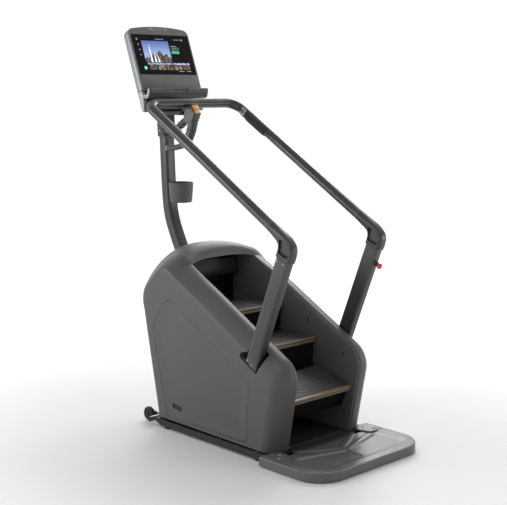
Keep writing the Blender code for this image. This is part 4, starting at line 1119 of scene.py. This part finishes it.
def build_screen():
    """A generic picture screen: no words, only tiles, bars and round keys."""
    sky = glow("screen_sky", (0.3, 0.4, 0.62), (0.035, 0.065, 0.26), 0.75, rising=True)
    city = glow("screen_city", (0.012, 0.012, 0.02), (0.16, 0.11, 0.07), 0.55, 85)
    tower = glow("screen_tower", (0.62, 0.66, 0.72), (0.95, 0.92, 0.88), 0.85, 60)
    water = glow("screen_water", (0.05, 0.09, 0.24), (0.42, 0.5, 0.66), 0.6, 120)
    green = glow("screen_green", (0.03, 0.34, 0.12), (0.05, 0.42, 0.17), 0.8, 20)
    dim = glow("screen_marks", (0.22, 0.23, 0.25), (0.36, 0.37, 0.4), 0.6, 50)
    warm = glow("screen_thumbs", (0.03, 0.025, 0.03), (0.36, 0.22, 0.13), 0.5, 65)
    tile("screen_picture", quad_loop(-0.139, 0.047, 0.07, 0.194), sky, 0.0001)
    skyline = [(-0.139, 0.07)]
    heights = (0.092, 0.1, 0.096, 0.112, 0.108, 0.121, 0.118, 0.104, 0.13, 0.136, 0.128, 0.11, 0.114, 0.12, 0.103,
               0.098)
    for k, h in enumerate(heights):
        x0, x1 = -0.139 + 0.186 * k / len(heights), -0.139 + 0.186 * (k + 1) / len(heights)
        skyline += [(x0, h), (x1, h)]
    skyline.append((0.047, 0.07))
    tile("screen_buildings", skyline, city, 0.00016)
    for k, (x, top) in enumerate(((-0.093, 0.174), (-0.067, 0.128), (-0.0445, 0.108))):
        tile("screen_tower_%d" % (k + 1), [(x - 0.0058, 0.071), (x + 0.0062, 0.071), (x + 0.0006, top),
                                           (x - 0.0006, top)], tower,
             0.00022)
    tile("screen_water", quad_loop(-0.128, 0.165, 0.056, 0.067), water, 0.00016)
    for k in range(5):
        x = -0.12 + 0.0585 * k
        tile("screen_thumb_%d" % (k + 1), quad_loop(x, x + 0.052, 0.026, 0.054), warm if k % 2 else city, 0.00016)
    tile("screen_green_bar", quad_loop(0.056, 0.112, 0.1215, 0.1365, 0.003), green)
    for name, x, up, r, mat in (("screen_round_key", -0.149, 0.037, 0.0112, green),
                                ("screen_dot_a", -0.166, 0.203, 0.006, dim),
                                ("screen_dot_b", 0.148, 0.203, 0.006, dim), ("screen_dot_c", -0.164, 0.172, 0.0042,
                                                                             dim),
                                ("screen_dot_d", -0.162, 0.141, 0.0042, dim),
                                ("screen_dot_e", -0.16, 0.112, 0.0042, dim)):
        tile(name, [(x + r * math.cos(2 * math.pi * k / 24),
                     up + r * math.sin(2 * math.pi * k / 24)) for k in range(24)], mat)
    for k, (x0, x1, up, h) in enumerate(((-0.04, 0.018, 0.2045, 0.0028), (0.058, 0.098, 0.165, 0.0036),
                                         (0.058, 0.12, 0.156, 0.0018),
                                         (0.058, 0.11, 0.15, 0.0018), (0.058, 0.116, 0.144, 0.0018),
                                         (0.088, 0.132, 0.2035, 0.0022),
                                         (0.08, 0.118, 0.0185, 0.003), (0.134, 0.166, 0.0185, 0.003))):
        tile("screen_line_%d" % (k + 1), quad_loop(x0, x1, up - h / 2, up + h / 2), dim)
    tile("screen_play_mark", [(-0.1525, 0.032), (-0.143, 0.037), (-0.1525, 0.042)], tower, 0.0003)


def build_tray():
    """Long shelf below the screen with a rounded front lip, notched in the middle."""
    def section(x):
        notch = ease((0.066 - abs(x)) / 0.01)
        lip = 1.785 - 0.0155 * notch
        end = ease((abs(x) - 0.196) / 0.009)
        front = 0.63 + 0.004 * end
        return rounded([(0.7015, 1.744, 0.001), (0.7015, 1.752, 0.001), (0.68, 1.748, 0.004), (0.65, 1.748, 0.01),
                        (0.6415, lip - 0.002, 0.003), (0.635, lip, 0.003), (front, lip - 0.007, 0.005),
                        (front, 1.762, 0.012),
                        (front + 0.008, 1.736, 0.01), (0.656, 1.727, 0.008), (0.685, 1.733, 0.004)], 4)
    xs = [-0.205 + 0.41 * k / 82 for k in range(83)]
    rings = [[at(x, p) for p in section(x)] for x in xs]
    add("console_tray_shell", skin(rings), CUP, replaces=("console_tray",))
    for side, label in SIDES:
        cap = [at(side * 0.2051, p) for p in section(0.2)], [at(side * 0.2085, p) for p in section(0.2)]
        centre = sum(cap[1], Vector()) / len(cap[1])
        tip = [centre + (p - centre) * 0.94 + Vector((side * 0.001, 0, 0)) for p in cap[1]]
        add("tray_end_" + label, skin([cap[0], cap[1], tip]), GREY_TRIM, smooth=40)
    for k, x in enumerate((-0.118, 0.136, 0.183)):
        hole = turned([(0.0, 0.0), (0.0, 0.0036), (0.0006, 0.0036), (0.0006, 0.0)], at(x, (0.6348, 1.745)),
                      (0, -0.96, -0.28), 20)
        add("tray_hole_%d" % (k + 1), hole, RUBBER, smooth=30)


# ------------------------------------------------------------------ mast head, control grip and cup
def build_head():
    path = [at(0, p) for p in curve_through([(0.7444, 1.5208), (0.747, 1.56), (0.75, 1.605), (0.752, 1.64)], 4)]
    add("mast_head_cover", pipe(path, oval(0.09, 0.07, 40, 4.5)), DARK,
        replaces=("mast_head",))
    slab = [(-0.06, 0.552), (0.06, 0.552), (0.06, 0.755), (-0.06, 0.755)]
    loop = rounded([(x, y, 0.014) for x, y in slab], 6)
    rings = [[on_floor((p.x * grow, 0.6535 + (p.y - 0.6535) * grow), z) for p in loop]
             for grow, z in ((0.96, 1.64), (1.0, 1.6425), (1.0, 1.66), (0.97, 1.6622))]
    add("console_arm", skin(rings), DARK)
    bead = [at(0, p) for p in ((0.7438, 1.513), (0.744, 1.519))]
    add("mast_collar", pipe(bead, oval(0.0735, 0.0635, 40, 5)), DARK, smooth=30)
    for side, label in SIDES:
        for k, z in enumerate((1.552, 1.612)):
            screw("head_screw_%s_%d" % (label, k + 1), (side * 0.0452, 0.747 + SHIFT, z), (side, 0, 0), 0.0055, STEEL)
    # loop-shaped grip: a thick contoured front arm, a slimmer rear arm
    spine = curve_through([at(-0.03, p) for p in ((0.7015, 1.46), (0.672, 1.459), (0.64, 1.462), (0.604, 1.468),
                                                  (0.57, 1.48),
                                                  (0.542, 1.497), (0.52, 1.52), (0.504, 1.547), (0.493, 1.575),
                                                  (0.486, 1.598),
                                                  (0.485, 1.612))], 5)

    def thick(i):
        t = i / (len(spine) - 1)
        w = 0.031 + 0.017 * ease((t - 0.3) / 0.3) - 0.001 * math.cos(t * 9)
        d = 0.031 + 0.019 * ease((t - 0.28) / 0.3)
        return oval(w, d, 32, 2.6)
    add("grip_arm", pipe(spine, thick), COAT, replaces=("centre_grip",))
    rear = curve_through([at(-0.03, p) for p in ((0.499, 1.62), (0.515, 1.619), (0.54, 1.612), (0.58, 1.588),
                                                 (0.63, 1.56), (0.668, 1.553), (0.7065, 1.552))], 6)
    add("grip_brace", pipe(rear, lambda i: oval(0.04 - 0.005 * ease(i / 30), 0.04 - 0.006 * ease(i / 30), 28, 2.4)),
        COAT)
    for k, i in enumerate((15, 18)):
        ring = [rear[i], rear[i] + (rear[i + 1] - rear[i]).normalized() * 0.0045]
        add("grip_ring_%d" % (k + 1), pipe(ring, oval(0.0415, 0.0415, 32, 2.2)), DARK, smooth=30)
    band = [spine[38], spine[38] + (spine[39] - spine[38]).normalized() * 0.0035]
    add("grip_band", pipe(band, oval(0.0505, 0.0525, 32, 2.5)), DARK, smooth=30)
    collar = [at(-0.022, (y, 1.46)) for y in (0.699, 0.694, 0.682, 0.67)]
    add("grip_collar", pipe(collar, lambda i: oval(0.052 - 0.006 * i, 0.034, 36, 3.0)), GREY_TRIM, smooth=30)
    # block that holds the two keys
    block = [(0.466, 1.606, 0.008), (0.518, 1.598, 0.01), (0.54, 1.636, 0.016), (0.506, 1.688, 0.01),
             (0.4745, 1.6948, 0.004),
             (0.4435, 1.65, 0.005)]
    outline = rounded(block, 5)
    mid = sum(outline, V2(0, 0)) / len(outline)
    rings = [[at(x, mid + (p - mid) * grow) for p in outline]
             for x, grow in ((-0.056, 0.9), (-0.0535, 0.965), (-0.049, 1.0), (-0.011, 1.0), (-0.0065, 0.965),
                             (-0.004, 0.9))]
    add("key_block", skin(rings), COAT, replaces=("control_head",))
    low, high = V2(0.444, 1.65), V2(0.474, 1.695)
    run = (high - low).normalized()
    out = V2(-run.y, run.x)
    for node, a, b in (("speed_down_key", 0.04, 0.47), ("speed_up_key", 0.53, 0.96)):
        rings = []
        for lift, shrink in ((-0.0015, 0.0), (0.0018, 0.0), (0.003, 0.0012), (0.0036, 0.0032)):
            rings.append([at(x, low + run * ((high - low).length * t) + out * lift)
                          for x, t in ((-0.0475 + shrink, a + shrink * 14), (-0.0125 - shrink, a + shrink * 14),
                                       (-0.0125 - shrink, b - shrink * 14), (-0.0475 + shrink, b - shrink * 14))])
        key = add(node + "_cap", skin(rings), ORANGE, node, replaces=(node,), smooth=30)
        bevel(key, 0.0015, 3, 25)
    # cup
    cup = [(0.0, 0.0), (0.0, 0.056), (0.004, 0.061), (0.08, 0.067), (0.106, 0.0682), (0.109, 0.0682),
           (0.1098, 0.0668),
           (0.109, 0.0645), (0.106, 0.0638), (0.08, 0.0628), (0.011, 0.0575), (0.01, 0.0545), (0.01, 0.0)]
    add("cup", turned(cup, (0, 0.6255 + SHIFT, 1.1622), (0, 0, 1), 64), CUP,
        replaces=("cup_holder",))
    plate = rounded([(0.685, 1.19, 0.006), (0.685, 1.252, 0.006), (0.699, 1.252, 0.002), (0.694, 1.19, 0.002)], 4)
    add("cup_bracket", prism(plate, -0.026, 0.026), DARK, smooth=30)


CARRIED = {
    FRAME: ("base_frame", "drive_frame", "brake_unit", "step_chain_left", "step_chain_right"),
    STEEL: ("brake_rotor", "drive_pulley", "upper_shaft", "lower_shaft", "upper_bearing_left", "upper_bearing_right",
            "lower_bearing_left", "lower_bearing_right"),
    RUBBER: ("drive_belt",), SILVER: ("rear_stabilizer",), WALL: ("inner_wall_left", "inner_wall_right"),
    STEP: ("step_4", "step_5", "step_6")}


def dress_carried():
    """CAD nodes that stay: their own shape with softened edges and a finish."""
    for mat, names in CARRIED.items():
        for name in names:
            thing = NODES[name]
            thing.data.materials.clear()
            thing.data.materials.append(mat)
            if name != "drive_belt" and "chain" not in name:
                bevel(thing, 0.0012, 2, 35)


# ------------------------------------------------------------------ stage, camera and lights
def look_from():
    camera = placed("camera", bpy.data.cameras.new("camera"))
    camera.location = (-3.8575, -4.013, 1.7907)
    yaw, pitch = math.radians(43.54), math.radians(8.737)
    look = Vector((math.sin(yaw) * math.cos(pitch), math.cos(yaw) * math.cos(pitch), -math.sin(pitch)))
    camera.rotation_mode = "QUATERNION"
    camera.rotation_quaternion = look.to_track_quat("-Z", "Y")
    camera.data.lens = 77.37
    camera.data.sensor_width = 36.0
    camera.data.shift_x = 0.0091
    camera.data.shift_y = 0.0036
    bpy.context.scene.camera = camera
    bpy.context.scene.view_settings.view_transform = "Standard"


def light(name, place, target, size, power, colour=(1, 1, 1)):
    data = bpy.data.lights.new(name, "AREA")
    data.shape = "RECTANGLE"
    data.size, data.size_y = size
    data.energy = power
    data.color = colour
    lamp = placed(name, data)
    lamp.location = place
    lamp.visible_camera = False
    lamp.rotation_mode = "QUATERNION"
    lamp.rotation_quaternion = (Vector(target) - Vector(place)).to_track_quat("-Z", "Y")


def stage():
    floor = bpy.data.meshes.new("floor")
    floor.from_pydata([(-30, -30, 0), (30, -30, 0), (30, 30, 0), (-30, 30, 0)], [], [(0, 1, 2, 3)])
    ground = placed("floor", floor)
    glow_floor = bpy.data.materials.new("floor_painted_glow")
    glow_floor.use_nodes = True
    nodes, links = glow_floor.node_tree.nodes, glow_floor.node_tree.links
    shader = nodes["Principled BSDF"]
    shader.inputs["Base Color"].default_value = (0.7, 0.7, 0.7, 1)
    shader.inputs["Roughness"].default_value = 0.55
    # painted light: the floor glows more the farther it lies from the machine, so that the far floor fades into the
    # white background
    span = put(nodes, "VectorMath")
    span.operation = "LENGTH"
    links.new(put(nodes, "TexCoord").outputs["Object"], span.inputs[0])
    fade = put(nodes, "MapRange", From_Min=0.8, From_Max=3.6, To_Min=0.0, To_Max=0.5)
    fade.interpolation_type = "SMOOTHSTEP"
    links.new(span.outputs["Value"], fade.inputs["Value"])
    shader.inputs["Emission Color"].default_value = (1, 1, 1, 1)
    links.new(fade.outputs["Result"], shader.inputs["Emission Strength"])
    floor.materials.append(glow_floor)
    build_world()
    light("key", (-3.4, 2.8, 2.0), (0, 0.1, 0.7), (1.6, 1.6), 60)
    light("rim", (3.0, 2.5, 2.6), (0, 0.0, 0.7), (2.0, 2.0), 52)
    light("right_top", (2.0, 0.6, 2.6), (0.2, 0.0, 0.7), (0.9, 0.9), 21)
    light("side", (-4.6, -0.4, 1.4), (0, 0.2, 0.5), (1.6, 2.4), 22)
    light("right_front", (2.4, -2.4, 1.1), (0.3, -0.4, 0.3), (0.8, 1.2), 14)
    light("screen_side", (-2.6, -1.2, 3.4), (0, 0.6, 1.9), (1.2, 1.2), 16)


def build_world():
    """Soft studio: bright behind the object, dimmer in front of it and overhead."""
    world = bpy.data.worlds.new("studio")
    bpy.context.scene.world = world
    world.use_nodes = True
    nodes, links = world.node_tree.nodes, world.node_tree.links
    nodes["Background"].inputs["Color"].default_value = (1, 1, 1, 1)
    ahead = put(nodes, "VectorMath")
    ahead.operation = "DOT_PRODUCT"
    ahead.inputs[1].default_value = (0.66, 0.7, 0.1)
    links.new(put(nodes, "TexCoord").outputs["Generated"], ahead.inputs[0])
    level = put(nodes, "MapRange", From_Min=-0.25, From_Max=0.7, To_Min=0.5, To_Max=1.05)
    level.interpolation_type = "SMOOTHSTEP"
    links.new(ahead.outputs["Value"], level.inputs["Value"])
    links.new(level.outputs["Result"], nodes["Background"].inputs["Strength"])


def main():
    look_from()
    build_covers()
    build_rear()
    build_rails()
    build_steps()
    build_platform()
    build_base()
    build_console()
    build_head()
    dress_carried()
    stage()


main()
